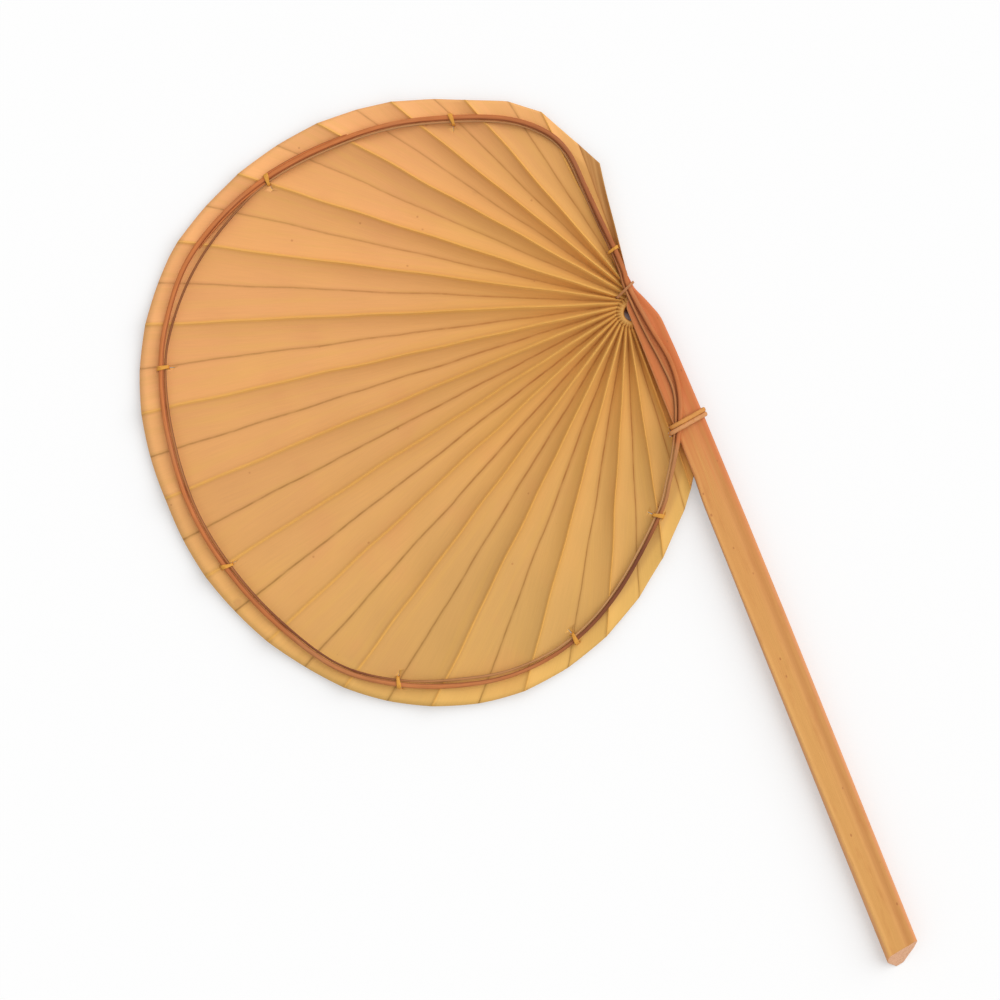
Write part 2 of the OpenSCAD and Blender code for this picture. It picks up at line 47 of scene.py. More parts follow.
# Sizes of the part's source
LEAF_R, LEAF_T = 164, 0.6
HUB_OFFSET = 117
FOLDS = 36
PLEAT_FIRST, PLEAT_RIM, PLEAT_MID, PLEAT_START_R = 1.4, 2.6, 5.2, 8.7
PLEAT_GROWS = 8
COLLAR_W = 4.1
STALK_W, GRIP_T, NECK_T, KEEL_W, STALK_L, GRIP_L = 19.4, 10.4, 5.4, 7.6, 380.6, 205
BUTT_SLOPE, BUTT_TURN = 28, 9
TRIM_W, TRIM_START, TRIM_L, TRIM_SHARE = 1.9, -150, 230, 0.9
OUTER_W, OUTER_H, INNER_W, INNER_H, SEAT = 2.8, 2.2, 1.6, 1.5, 0.05
TIE_W, TIE_T, LASH_D, LASH_PITCH, LASH_TURNS = 2.2, 0.8, 1.9, 2.6, 2

PLEAT_AT_CANE, FLOOR_GAP, FAR = PLEAT_RIM + 0.4, 0.1, 60
LEAF_Z = TIE_T + 2 * SEAT + OUTER_H + PLEAT_AT_CANE / 2 + LEAF_T / 2
NECK_BACK = FLOOR_GAP + LASH_D + OUTER_H + 2 * SEAT
NECK_FRONT = NECK_BACK + NECK_T
GRIP_END = GRIP_L - STALK_L
NECK_START, NECK_END, HEAD_END = -80, -10, 19.6
STALK_BACK = [
    (-STALK_L - FAR, 0), (GRIP_END, 0), (NECK_START, NECK_BACK), (NECK_END, NECK_BACK),
    (HEAD_END, NECK_BACK - 0.7),
]
STALK_FRONT = [
    (-STALK_L - FAR, GRIP_T), (GRIP_END, GRIP_T), (NECK_START, NECK_FRONT),
    (NECK_END, NECK_FRONT - 0.3), (14, NECK_FRONT - 1.6), (HEAD_END, NECK_FRONT - 2.4),
]
NECK_LEFT, GRIP_LEFT = -1.9, -2.9
GRIP_RIGHT = GRIP_LEFT + STALK_W
NECK_RIGHT = GRIP_RIGHT - 1.1
SHOULDER_RIGHT = NECK_RIGHT - 1.7
WEDGE_L = 14
FLANK_T, FLANK_BULGE = 0.92 * GRIP_T, 0.3

FOLD_MIDDLE, FOLD_HALF_SWEEP, FOLD_SKEW, FOLD_SPREAD = 169.7, 81, -2, 6.9
FOLD_UNEVENNESS = [0.7, -0.7, -0.3, -0.3, 1.2, 0, 0.3, -0.5, -0.8, -0.5]
BUNCHED_FOLDS = [263.3, 266.7, 268.8]
LAST_EVEN = FOLDS - 1 - len(BUNCHED_FOLDS)
HEAD_STARTS = [(0, 4.6, 20.3), (2, 3.3, 17.3), (8, 0.5, 10.9), (9, -0.2, 9.8)]
COLLAR_STARTS = [
    (10, 96), (12, 104), (16, 138), (20, 165), (24, 188), (28, 214), (32, 238), (35, 255),
]
RIM_STRAY = [
    (80, -11), (86, -5.5), (92.5, 4.3), (99, 4.5), (106, 0.5), (140, 0.3), (151, 2.5), (165, 0),
    (180, -4.8), (195, -2.3), (205, 0.8), (214, 5.5), (226, 7.5), (232, 6.3), (244, -3),
    (250, -11.2), (256, -16.5), (263, -20.5), (268.8, -24.5),
]
# Degrees to each side over which the corners of RIM_STRAY are rounded
RIM_EASE = [(200, 0), (215, 5), (262, 5), (268.8, 0)]
PLEAT_PRESS = [
    (80, 0.45), (98, 0.45), (112, 1), (240, 1), (255, 0.85), (266.7, 0.85), (268.8, 0.2),
]
ROUND_MIDDLE = np.array([-HUB_OFFSET, -3])
BACK_LAG = 80
HEAD_STRETCH = [
    (3.5, 14, 1, 0.2), (4.3, 23, 0.35, 0.2), (4.1, 36, 0, 0.2), (2.9, 52, 0, 0.2),
    (1.7, 74, 0, 0.2), (0.2, 95, 0, 0.2),
]
NECK_STRETCH = [
    (-15, -93.5, 0.4, 0.2), (-6, -79.5, 0.95, 0.2), (-1.4, -71.5, 1, 0.2), (1.4, -66.5, 1, 0.2),
    (7.6, -50, 1, 0.8), (9.3, -32, 1, 2.6), (6, -10, 1, 1.6),
]
HOOP_STRETCH = [
    (46, 6.3, 0.2), (54, 6.4, 0.2), (65, 10.3, 0.2), (78, 12.3, 0.2), (92, 13.4, 0.2),
    (106, 11.7, 0.2), (118, 9.7, 2.4), (130, 8.2, 3.4), (141.5, 9.9, 1.6), (152, 11.9, 0.2),
    (166, 15.1, 0.2), (182, 15.9, 0.2), (197, 15.3, 0.2), (212, 12.2, 0.2), (227.5, 5.8, 0.2),
    (240.5, 5, 0.2), (254, 5.3, 1.2), (265.5, 6, 1), (278, 10.3, 0.2), (291.5, 17.7, 0.2),
    (310, 24.9, 0.2),
]
AT_CROWN, AT_FLAP, HOOP_FIRST = 0, 2, len(HEAD_STRETCH)
# Each tie's place on the route, its slant, and its width at the rim side and the hub side as shares of TIE_W
TIES = {
    "rim_tie_top": (HOOP_FIRST + 2, 0.35, 1.15, 0.7),
    "rim_tie_upper_left": (HOOP_FIRST + 5, -0.3, 1.25, 0.75),
    "rim_tie_left": (HOOP_FIRST + 9, 0.2, 1.1, 0.85),
    "rim_tie_lower_left": (HOOP_FIRST + 12, -0.35, 1.15, 0.75),
    "rim_tie_bottom": (HOOP_FIRST + 15, 0.3, 1.15, 0.8),
    "rim_tie_lower_right": (HOOP_FIRST + 18, -0.25, 1.15, 0.8),
    "rim_tie_right": (HOOP_FIRST + 20, 0.3, 1.15, 0.8),
    "flap_tie": (AT_FLAP, 0.2, 0.8, 0.7),
}
AT_LASHING = HOOP_FIRST + len(HOOP_STRETCH) + 3
# Slits and strands are finer here than in the part's source.
SLIT_GAP, SLIT_TAIL_L, FLAP_TAIL_L, CROWN_WIDE = 0.05, 3, 0.4, 0.62
# Width of a slit's tail where it stays open and where it closes, and its tip as a share of that
OPEN_TAIL_W, CLOSED_TAIL_W, TAIL_TIP = 0.5, 0.2, 0.3
OPEN_SLITS = ("rim_tie_left", "rim_tie_lower_right", "rim_tie_right")
TIE_PLAY, LASH_PLAY = 0.1, 0.2
CROWN_TURN, CROWN_LEFT, CROWN_RIGHT, CROWN_LEAF_HALF = 23, -8.1, 3.1, 1.8
LASH_WIDE = 2.5
LOOP_RINGS, LASH_LEAN, LASH_FRONT, LASH_BEND, LASH_FIRST = 24, 0.08, 0.3, 0.7, 285


def lookup(x, table):
    """Straight-line lookup in a list of pairs, held at its ends."""
    return np.interp(x, *zip(*sorted(table)))


def mix(a, b, t):
    return a + (b - a) * t


def unit(v):
    v = np.asarray(v, float)
    return v / np.linalg.norm(v)


def polar(r, degrees):
    a = np.radians(degrees)
    return np.stack([r * np.cos(a), r * np.sin(a)], axis=-1)


def travel(path):
    """How far along a path each of its points is."""
    return np.concatenate([[0], np.cumsum(np.linalg.norm(np.diff(path, axis=0), axis=1))])


# Camera
IMAGE_MIDDLE = (-0.1081, 0.2066)
CAMERA_HEIGHT, VIEW_WIDTH, CAMERA_TURN = 1.605, 0.550, -21.9


def make_camera():
    data = bpy.data.cameras.new("camera")
    data.lens_unit = "FOV"
    data.sensor_fit = "HORIZONTAL"
    data.angle = 2 * math.atan(VIEW_WIDTH / 2 / (CAMERA_HEIGHT - LEAF_Z * MM))
    data.clip_start, data.clip_end = 0.01, 20
    camera = bpy.data.objects.new("camera", data)
    camera.location = (*IMAGE_MIDDLE, CAMERA_HEIGHT)
    camera.rotation_euler = (0, 0, math.radians(CAMERA_TURN))
    bpy.context.scene.collection.objects.link(camera)
    bpy.context.scene.camera = camera


make_camera()
view = bpy.context.scene.view_settings
view.view_transform = "Standard"


# Small help for node materials
def colour(*srgb):
    """Colour of 0 to 255 per channel, as linear RGBA."""
    c = np.array(srgb) / 255
    linear = np.where(c <= 0.04045, c / 12.92, ((c + 0.055) / 1.055) ** 2.4)
    return (*[float(x) for x in linear], 1)


class Nodes:
    """A material's node tree, with one short call for each kind of node.

    A colour is a socket or three numbers of 0 to 255. base is the colour so far.
    """

    def __init__(self, name, roughness, specular):
        self.material = bpy.data.materials.new(name)
        self.material.use_nodes = True
        self.tree = self.material.node_tree
        self.shader = self.tree.nodes["Principled BSDF"]
        self.shader.inputs["Roughness"].default_value = roughness
        self.shader.inputs["Specular IOR Level"].default_value = specular
        self.place = self.new("TexCoord").outputs["Object"]
        self.base = None

    def new(self, kind, **settings):
        node = self.tree.nodes.new("ShaderNode" + kind)
        for key, value in settings.items():
            setattr(node, key, value)
        return node

    def feed(self, sockets, *values):
        for socket, value in zip(sockets, values):
            if isinstance(value, bpy.types.NodeSocket):
                self.tree.links.new(value, socket)
            else:
                socket.default_value = colour(*value) if isinstance(value, tuple) else value

    def read(self, *names):
        """Numbers that the mesh holds for each of its points."""
        return [self.new("Attribute", attribute_name=name).outputs["Fac"] for name in names]

    def maths(self, operation, a, b=0):
        node = self.new("Math", operation=operation)
        self.feed(node.inputs, a, b)
        return node.outputs[0]

    def times(self, a, b):
        return self.maths("MULTIPLY", a, b)

    def vector(self, *parts):
        """Vector of up to three numbers. The two of a pair are multiplied."""
        node = self.new("CombineXYZ")
        self.feed(node.inputs, *[self.times(*p) if isinstance(p, tuple) else p for p in parts])
        return node.outputs[0]

    def part(self, vector, axis):
        node = self.new("SeparateXYZ")
        self.feed(node.inputs, vector)
        return node.outputs[axis]

    def step(self, value, low, high, to_low=0, to_high=1):
        """Smooth step from to_low at low to to_high at high."""
        node = self.new("MapRange", interpolation_type="SMOOTHSTEP")
        self.feed(node.inputs, value, low, high, to_low, to_high)
        return node.outputs[0]

    def noise(self, vector, scale, detail, roughness=0.5):
        node = self.new("TexNoise")
        sockets = [node.inputs[key] for key in ("Vector", "Scale", "Detail", "Roughness")]
        self.feed(sockets, vector, scale, detail, roughness)
        return node.outputs["Fac"]

    def dots(self, vector, scale, radius, share):
        """Small round spots, in a share of the cells of a grid of that scale."""
        node = self.new("TexVoronoi", feature="F1")
        self.feed([node.inputs["Vector"], node.inputs["Scale"]], vector, scale)
        spot = self.step(node.outputs["Distance"], radius * 0.5, radius, 1, 0)
        return self.times(spot, self.maths("LESS_THAN", self.part(node.outputs["Color"], 0), share))

    def mix(self, factor, a, b, blend="MIX"):
        node = self.new("Mix", data_type="RGBA", blend_type=blend)
        self.feed([node.inputs[k] for k in (0, 6, 7)], factor, a, b)
        return node.outputs[2]

    def tint(self, factor, over, share=None):
        """Lays a colour over the base, as strongly as factor says or as a share of that."""
        if share is not None:
            factor = self.times(factor, share)
        self.base = self.mix(factor, self.base, over)

    def brighten(self, factor):
        """Multiplies the base by a grey factor."""
        grey = self.new("CombineColor")
        self.feed(grey.inputs[:3], factor, factor, factor)
        self.base = self.mix(1, self.base, grey.outputs[0], "MULTIPLY")

    def finish(self, height, distance, strength):
        """Joins the base and a bump to the shader."""
        node = self.new("Bump")
        sockets = [node.inputs[key] for key in ("Height", "Distance", "Strength")]
        self.feed(sockets, height, distance, strength)
        self.feed([self.shader.inputs[key] for key in ("Base Color", "Normal")], self.base, node.outputs[0])
        return self.material


def make_mesh(name, points, faces, attributes=None, smooth=True):
    """Object from points in millimetres. Attributes are per-point numbers."""
    mesh = bpy.data.meshes.new(name)
    mesh.from_pydata((np.asarray(points) * MM).tolist(), [], [list(f) for f in faces])
    for key, values in (attributes or {}).items():
        layer = mesh.attributes.new(key, "FLOAT", "POINT")
        layer.data.foreach_set("value", np.asarray(values, np.float32).ravel())
    mesh.validate()
    mesh.update()
    mesh.polygons.foreach_set("use_smooth", [smooth] * len(mesh.polygons))
    piece = bpy.data.objects.new(name, mesh)
    bpy.context.scene.collection.objects.link(piece)
    return piece


def settle(piece, material, slot, *nodes):
    """Gives a piece its material, parents it to the root and hides the nodes that it stands for; slot is not
    used.
    """
    piece.data.materials.clear()
    piece.data.materials.append(material)
    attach(piece, "root")
    if nodes:
        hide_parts(*nodes)


# Leaf, by the formulas of the part's source
EASE_POINTS = 9
PLEAT_POWER = 0.6


def round_at(a):
    d = polar(1, a) @ ROUND_MIDDLE
    return d + np.sqrt(d * d - ROUND_MIDDLE @ ROUND_MIDDLE + LEAF_R ** 2)


def rim_at(a):
    reach = lookup(a, RIM_EASE)
    offsets = np.linspace(-1, 1, EASE_POINTS)
    return round_at(a) + np.mean([lookup(a + t * reach, RIM_STRAY) for t in offsets], axis=0)


def fold_angle(i):
    if i > LAST_EVEN:
        return BUNCHED_FOLDS[i - FOLDS]
    x = 2 * i / LAST_EVEN - 1
    nudge = FOLD_UNEVENNESS[i] if i < len(FOLD_UNEVENNESS) else 0
    return FOLD_MIDDLE + FOLD_HALF_SWEEP * x + FOLD_SKEW * x * x + FOLD_SPREAD * x ** 3 + nudge


def fold_start(i):
    if i <= HEAD_STARTS[-1][0]:
        return np.array([lookup(i, [(h[0], h[k]) for h in HEAD_STARTS]) for k in (1, 2)])
    return polar(PLEAT_START_R, lookup(i, COLLAR_STARTS))


def pleat_depth(a, f):
    g = np.clip(f, 0, 1)
    even = mix(PLEAT_FIRST, PLEAT_RIM, np.minimum(PLEAT_GROWS * g, 1))
    extra = (PLEAT_MID - PLEAT_RIM) * np.sin(np.radians(180 * g ** PLEAT_POWER))
    return lookup(a, PLEAT_PRESS) * (even + extra)


def leaf_level(p, side):
    a = math.degrees(math.atan2(p[1], p[0])) % 360
    f = (np.hypot(*p) - PLEAT_START_R) / (rim_at(a) - PLEAT_START_R)
    return LEAF_Z + side * (pleat_depth(a, f) + LEAF_T) / 2


STATIONS, STATION_POWER = 76, 1.25
RIB_HALF, RIB_RISE, RIB_MOST = 0.6, 0.26, 0.30
SEAM_HALF, SEAM_DROP, SEAM_MOST = 0.42, 0.08, 0.26
# Rows of points across a panel: as shares of the rib, of the flat part and of the seam
RIB_ROWS, SEAM_ROWS = (0, 0.4, 0.8, 1.15), (1.2, 0.75, 0.35, 0)
FLAT_ROWS = (0.08, 0.2, 0.36, 0.54, 0.72, 0.88)
# How steeply a panel leaves its ridge: at the hub, at the rim, and how soon
PANEL_BEND, BEND_GROWS = (1.05, 3.4), 1.6
RIB_FIRST, RIB_GROWS, RIB_FOOT, RIB_FOOT_FADE = 0.35, 6, 0.8, 6
SWAY, SWAY_LENGTHS, SWAY_GROWS = 0.55, (41, 67, 103), 60
# A panel's swell, as a share of the sway read this much further on for each panel
PANEL_SWELL, SWELL_SHIFT = 1.1, 40
# How strongly each valley's brown line and painted shade show, by the number of its fold
SEAM_SHOWS = [(1, 0.8), (5, 0.65), (9, 0.6), (13, 0.7), (17, 0.85), (21, 1), (35, 0.9)]
# Shifts that close the gaps beside the stalk and at its head
STALK_GAP_FILL, HEAD_GAP_FILL = 0.35, (0.8, -0.3)
# Half the painted width of each ridge, by the number of its fold
RIB_SPREAD = [(0, 1.1), (4, 1.7), (14, 1.6), (20, 1.2), (26, 1)]


def waves(rng, lengths, size):
    """Gentle unevenness along a line: a sum of a few sines."""
    parts = [(2 * math.pi / n, rng.uniform(0, 2 * math.pi), rng.uniform(0.5, 1)) for n in lengths]
    return lambda x: size * sum(s * np.sin(k * x + p) for k, p, s in parts) / len(parts)


def panel_grid(i, sways):
    """Places, heights and paint of one panel: columns across it, from fold i to fold i + 1."""
    f = np.linspace(0, 1, STATIONS) ** STATION_POWER
    a0, a1 = fold_angle(i), fold_angle(i + 1)
    lines = []
    for k, a in ((i, a0), (i + 1, a1)):
        start, end = fold_start(k), polar(rim_at(a), a)
        if k <= HEAD_STARTS[-1][0]:
            start = start + HEAD_GAP_FILL
        if k == FOLDS - 1:
            start, end = start + (STALK_GAP_FILL, 0), end + (STALK_GAP_FILL, 0)
        along = unit(end - start)
        line = start + (end - start) * f[:, None]
        reach = np.hypot(*(line - start).T)
        sway = sways[k](reach) * np.minimum(reach / SWAY_GROWS, 1)
        lines.append(line + sway[:, None] * np.array([-along[1], along[0]]))
    width = np.maximum(np.hypot(*(lines[1] - lines[0]).T), 0.05)
    rib, seam = np.minimum(RIB_HALF / width, RIB_MOST), np.minimum(SEAM_HALF / width, SEAM_MOST)
    rib_end, seam_end = RIB_ROWS[-1] * rib, SEAM_ROWS[0] * seam
    # q goes from the ridge (0) to the valley (1), and s from fold i to fold i + 1.
    q = np.array(
        [t * rib for t in RIB_ROWS] + [mix(rib_end, 1 - seam_end, t) for t in FLAT_ROWS]
        + [1 - t * seam for t in SEAM_ROWS])
    ridge_first = i % 2 == 0
    if not ridge_first:
        q = q[::-1]
    s = q if ridge_first else 1 - q
    # The rim bulges a little between two folds, as the trimmed round does.
    bulge = np.array([rim_at(mix(a0, a1, t)) for t in s[:, -1]])
    chord = np.hypot(*(polar(rim_at(a0), a0)[None] * (1 - s[:, -1:])
                       + polar(rim_at(a1), a1)[None] * s[:, -1:]).T)
    stretch = 1 + np.outer(bulge / chord - 1, f ** 3)
    place = mix(lines[0][None], lines[1][None], s[..., None]) * stretch[..., None]
    # Height from valley (-0.5) to ridge (0.5): near the rim it is steeper beside the ridge.
    shape = 0.5 - (1 - (1 - q) ** mix(*PANEL_BEND, np.clip(f * BEND_GROWS, 0, 1)))
    depth = np.array([mix(pleat_depth(a0, f), pleat_depth(a1, f), t) for t in s.mean(axis=1)])
    depth[0], depth[-1] = pleat_depth(a0, f), pleat_depth(a1, f)
    grown = np.clip(f * RIB_GROWS, RIB_FIRST, 1)
    reach = np.hypot(place[..., 0], place[..., 1])
    height = LEAF_Z + depth * shape
    height -= RIB_RISE * RIB_FOOT * (1 - q) ** RIB_FOOT_FADE * grown
    height += np.sin(math.pi * s) * sways[i](reach + SWELL_SHIFT * i) * PANEL_SWELL * np.clip(f * 2, 0, 1)
    rib_shape = np.sqrt(np.clip(1 - (q / rib_end) ** 2, 0, 1))
    seam_shape = np.clip(1 - (1 - q) / seam_end, 0, 1)
    top = height + LEAF_T / 2 + RIB_RISE * rib_shape * grown - SEAM_DROP * seam_shape * grown
    ridge, valley = (i, i + 1) if ridge_first else (i + 1, i)
    paint = {
        "rib_mm": q * width, "seam_mm": (1 - q) * width, "along_mm": reach, "panel": i, "flap": i == 0,
        "rim_mm": (1 - f) * np.hypot(*(lines[0][-1] - lines[0][0])),
        "rib_spread": lookup(ridge, RIB_SPREAD), "seam_shows": lookup(valley, SEAM_SHOWS),
    }
    paint = {key: np.broadcast_to(np.asarray(value, float), q.shape) for key, value in paint.items()}
    return place, top, height - LEAF_T / 2, paint


def make_leaf():
    rng = np.random.default_rng(11)
    sways = [waves(rng, SWAY_LENGTHS, SWAY) for _ in range(FOLDS + 1)]
    *panels, last = [panel_grid(i, sways) for i in range(FOLDS - 1)]

    def join(pick):
        """Joins the panels. Two neighbours share a fold, which the first of them leaves out."""
        return np.concatenate([pick(panel)[:-1] for panel in panels] + [pick(last)])

    place = join(lambda panel: panel[0]) + HUB
    columns, n = place.shape[:2]
    top, back = [np.dstack([place, join(lambda panel: panel[k])]).reshape(-1, 3) for k in (1, 2)]
    paint = {key: np.tile(join(lambda panel: panel[3][key]).ravel(), 2) for key in last[3]}
    half = len(top)
    a = (np.arange(columns - 1)[:, None] * n + np.arange(n - 1)).ravel()
    quads = np.stack([a, a + 1, a + n + 1, a + n], axis=1)
    border = np.concatenate([
        np.arange(n), np.arange(1, columns) * n + n - 1,
        (columns - 1) * n + np.arange(n - 2, -1, -1), np.arange(columns - 2, 0, -1) * n])
    after = np.roll(border, -1)
    edge = np.stack([border, border + half, after + half, after], axis=1)
    faces = np.concatenate([quads, quads[:, ::-1] + half, edge])
    return make_mesh("leaf_blade", np.concatenate([top, back]), faces, paint)


# Routes of the canes
HOOP = [(*(ROUND_MIDDLE + polar(LEAF_R - inset, a)), 0, gap) for a, inset, gap in HOOP_STRETCH]
ROUTE = HEAD_STRETCH + HOOP + NECK_STRETCH


def route_point(i):
    return ROUTE[i % len(ROUTE)]


def route_flat(i):
    return np.array(route_point(i)[:2], float)


def route_inward(i):
    t = unit(route_flat(i + 1) - route_flat(i - 1))
    return np.array([-t[1], t[0]])


def cane_spacing(i):
    return (OUTER_W + INNER_W) / 2 + route_point(i)[3]


# Width and height of the outer cane and the inner one
CANE_SIZES = ((OUTER_W, OUTER_H), (INNER_W, INNER_H))


def stalk_level(p, side):
    return lookup(p[1], STALK_FRONT if side > 0 else STALK_BACK)


def cane_level(p, c, side):
    climb = c if side > 0 else c ** BACK_LAG
    return mix(leaf_level(p, side), stalk_level(p, side), climb)


def cane_point(i, inner, side):
    p = route_flat(i) + (cane_spacing(i) if inner else 0) * route_inward(i)
    z = cane_level(p, route_point(i)[2], side) + side * (SEAT + CANE_SIZES[inner][1] / 2)
    return np.array([*(p + HUB), z])


def curve_at(a, b, c, d, t):
    p = 0.5 * (2 * b + (c - a) * t + (2 * a - 5 * b + 4 * c - d) * t ** 2
               + (3 * b - a - 3 * c + d) * t ** 3)
    p[2] = np.clip(p[2], min(b[2], c[2]), max(b[2], c[2]))
    return p


CANE_STEPS, CANE_SIDES, CANE_SQUARENESS = 14, 24, 0.8


def cane_curve(inner, side):
    n = len(ROUTE)
    points = [cane_point(i, inner, side) for i in range(n)]
    return np.array([
        curve_at(points[i - 1], points[i], points[(i + 1) % n], points[(i + 2) % n], s / CANE_STEPS)
        for i in range(n) for s in range(CANE_STEPS)])


def tube_faces(rings, sides, closed=False):
    """Quads between rings of points, and a cap at each end of an open tube."""
    count = rings * sides
    i, k = np.meshgrid(np.arange(rings if closed else rings - 1), np.arange(sides), indexing="ij")
    a, b = i * sides + k, i * sides + (k + 1) % sides
    quads = np.stack([a, (a + sides) % count, (b + sides) % count, b], axis=-1).reshape(-1, 4).tolist()
    return quads if closed else quads + [list(range(sides)), list(range(count - sides, count))[::-1]]


def sweep(path, section, closed, up, scale):
    """Rings of a section (across, over) along a path, and their faces."""
    before, after = np.roll(path, 1, axis=0), np.roll(path, -1, axis=0)
    if not closed:
        before[0], after[-1] = path[0], path[-1]
    along = after - before
    along /= np.linalg.norm(along, axis=1)[:, None]
    across = np.cross(along, np.broadcast_to(up, along.shape))
    across /= np.linalg.norm(across, axis=1)[:, None]
    over = np.cross(across, along)
    rings = path[:, None] + scale[:, None, None] * (
        across[:, None] * section[None, :, :1] + over[:, None] * section[None, :, 1:])
    return rings.reshape(-1, 3), tube_faces(len(path), len(section), closed)


def oval_section(w, h, sides, squareness=1):
    a = np.arange(sides) * 2 * math.pi / sides
    parts = ((w, np.cos(a)), (h, np.sin(a)))
    return np.stack([size / 2 * np.sign(t) * np.abs(t) ** squareness for size, t in parts], axis=1)


# How dark, how thick and how pale the canes are, by place along the route. The darkness is partly the canes'
# own tone and partly painted shade. The outer cane's paleness is its own tone. The inner cane's paleness is
# partly its own tone and partly painted light that lifts the shadow the outer cane casts on it.
OUTER_DARK_AND_SHADE = [
    (0, 0.1), (1.5, 0.25), (2.7, 0.5), (4.6, 0.5), (6, 0.4), (8, 0.1), (10, 0), (17.5, 0), (18.6, 0.2),
    (20.5, 0.15), (21.2, 0.05), (23.3, 0.2), (24.2, 0.8), (25.5, 0.95), (26.1, 0.3), (29, 0.05), (34, 0.1),
]
INNER_DARK_AND_SHADE = [
    (0, 0.1), (1.5, 0.3), (2.7, 0.6), (3.6, 0.3), (5, 0), (11, 0), (12, 0.5), (14.5, 0.6), (15.5, 0.1),
    (18, 0.2), (19.2, 0.8), (20.4, 0.8), (21.2, 0.1), (23.5, 0), (34, 0),
]
OUTER_THIN = [(21.5, 1), (23, 0.8), (27, 0.75), (28.5, 1)]
INNER_THIN = [
    (0, 1), (2.5, 0.7), (4, 0.6), (6.5, 0.6), (8, 0.8), (11.5, 0.8), (15, 0.8), (16, 1), (18.5, 1), (20, 0.7),
    (21, 0.8), (22, 1), (23.5, 0.7), (28, 0.7), (29, 1),
]
OUTER_PALE = [(19, 0), (19.8, 0.3), (20.8, 0.2), (22, 0.1), (25.9, 0.1), (26.4, 0.6), (28, 0.6), (28.6, 0)]
INNER_PALE_AND_LIGHT = [
    (2.7, 0), (4, 0.5), (10.5, 0.6), (11.8, 0.1), (20.5, 0), (21.5, 0.4), (23, 0.5), (24, 0.9), (26, 0.95),
    (28, 0.7), (28.6, 0.15), (34, 0),
]


def cane_paint(gone, sides):
    """How far along a cane each point is, and which way it faces."""
    a = np.arange(sides) * 2 * math.pi / sides
    faces = {"outward": np.tile(np.cos(a), len(gone)), "upward": np.tile(np.sin(a), len(gone))}
    return {"gone_mm": np.repeat(gone, sides), **faces}


# Waves of a cane's thickness in one round, and their size as a share of it
SWELLS, SWELL_SIZE = (9, 17, 31, 53), 0.012


def make_cane(name, inner, side, material):
    path = cane_curve(inner, side)
    w, h = CANE_SIZES[inner]
    tables = (INNER_THIN, INNER_DARK_AND_SHADE, INNER_PALE_AND_LIGHT) if inner else (OUTER_THIN, OUTER_DARK_AND_SHADE, OUTER_PALE)
    thin, dark, pale = [lookup(np.arange(len(path)) / CANE_STEPS, table) for table in tables]
    gone = travel(path)
    turn = 2 * math.pi * gone / (gone[-1] + np.linalg.norm(path[0] - path[-1]))
    rng = np.random.default_rng(31 + 2 * inner + (side < 0))
    swell = sum(rng.uniform(0.4, 1) * np.sin(k * turn + rng.uniform(0, 6.3)) for k in SWELLS)
    # A thinner stretch keeps its seat on the leaf and its side against the other cane.
    along = np.roll(path, -1, axis=0) - np.roll(path, 1, axis=0)
    inward = np.stack([-along[:, 1], along[:, 0]], axis=1) / np.hypot(along[:, 0], along[:, 1])[:, None]
    path[:, :2] += inward * ((1 - thin) * w / 2 * (-1 if inner else 1))[:, None]
    path[:, 2] -= side * (1 - thin) * h / 2
    section = oval_section(w, h, CANE_SIDES, CANE_SQUARENESS)
    points, faces = sweep(path, section, True, (0, 0, 1), thin + SWELL_SIZE * swell)
    paint = cane_paint(gone, CANE_SIDES)
    paint |= {"dark": np.repeat(dark, CANE_SIDES), "pale": np.repeat(pale, CANE_SIDES)}
    cane = make_mesh(name + "_rod", points, faces, paint)
    settle(cane, material, "inner_cane" if inner else "outer_cane", name)


# The outer cane's two ends: degrees and millimetres from the cane's middle towards the hub
CANE_ENDS = {
    "front_cane_end_outside": (105.3, 87, -1.75), "front_cane_end_inside": (106.7, 126, 1.9),
}
# Stretch of the hoop that holds them, in degrees
END_FROM, END_TO = 75, 140
END_W, END_TIP, END_TAPER_L, END_TAPER = 1.5, 0.3, 26, 0.6
END_STEPS, END_SIDES = 60, 12


def make_cane_end(name, first, last, offset, material):
    path = cane_curve(False, 1)
    turns = np.degrees(np.arctan2(*(path[:, :2] - HUB - ROUND_MIDDLE).T[::-1]))
    near = (turns > END_FROM) & (turns < END_TO)
    path, turns = path[near], turns[near]
    order = np.argsort(turns)
    a = mix(first, last, np.arange(END_STEPS + 1) / END_STEPS)
    places = np.stack([np.interp(a, turns[order], path[order, axis]) for axis in range(3)], axis=1)
    places[:, :2] -= offset * polar(1, a)
    places[:, 2] -= (OUTER_H - END_W) / 2
    gone = travel(places)
    scale = mix(END_TIP, 1, np.clip((gone[-1] - gone) / END_TAPER_L, 0, 1) ** END_TAPER)
    points, faces = sweep(places, oval_section(END_W, END_W, END_SIDES), False, (0, 0, 1), scale)
    settle(make_mesh(name, points, faces, cane_paint(gone, END_SIDES)), material, "outer_cane")


# Taut loops: the ties and the lashing
def farthest(ovals, d):
    edges = []
    for x, z, w, h in ovals:
        m = max(math.hypot(w * d[0], h * d[1]), 0.001)
        edges.append(np.array([x + w * w * d[0] / m, z + h * h * d[1] / m]))
    return max(edges, key=lambda e: float(e @ d))


def crossing(i, inner, side, turn):
    t = math.radians(turn)
    w, h = CANE_SIZES[inner]
    x = cane_spacing(i) if inner else 0
    return (x / math.cos(t), cane_point(i, inner, side)[2],
            (w + TIE_W * math.sin(t)) / 2 / math.cos(t) + TIE_PLAY, h / 2)


def crossings(i, turn):
    return [crossing(i, inner, side, turn) for side in (1, -1) for inner in (False, True)]


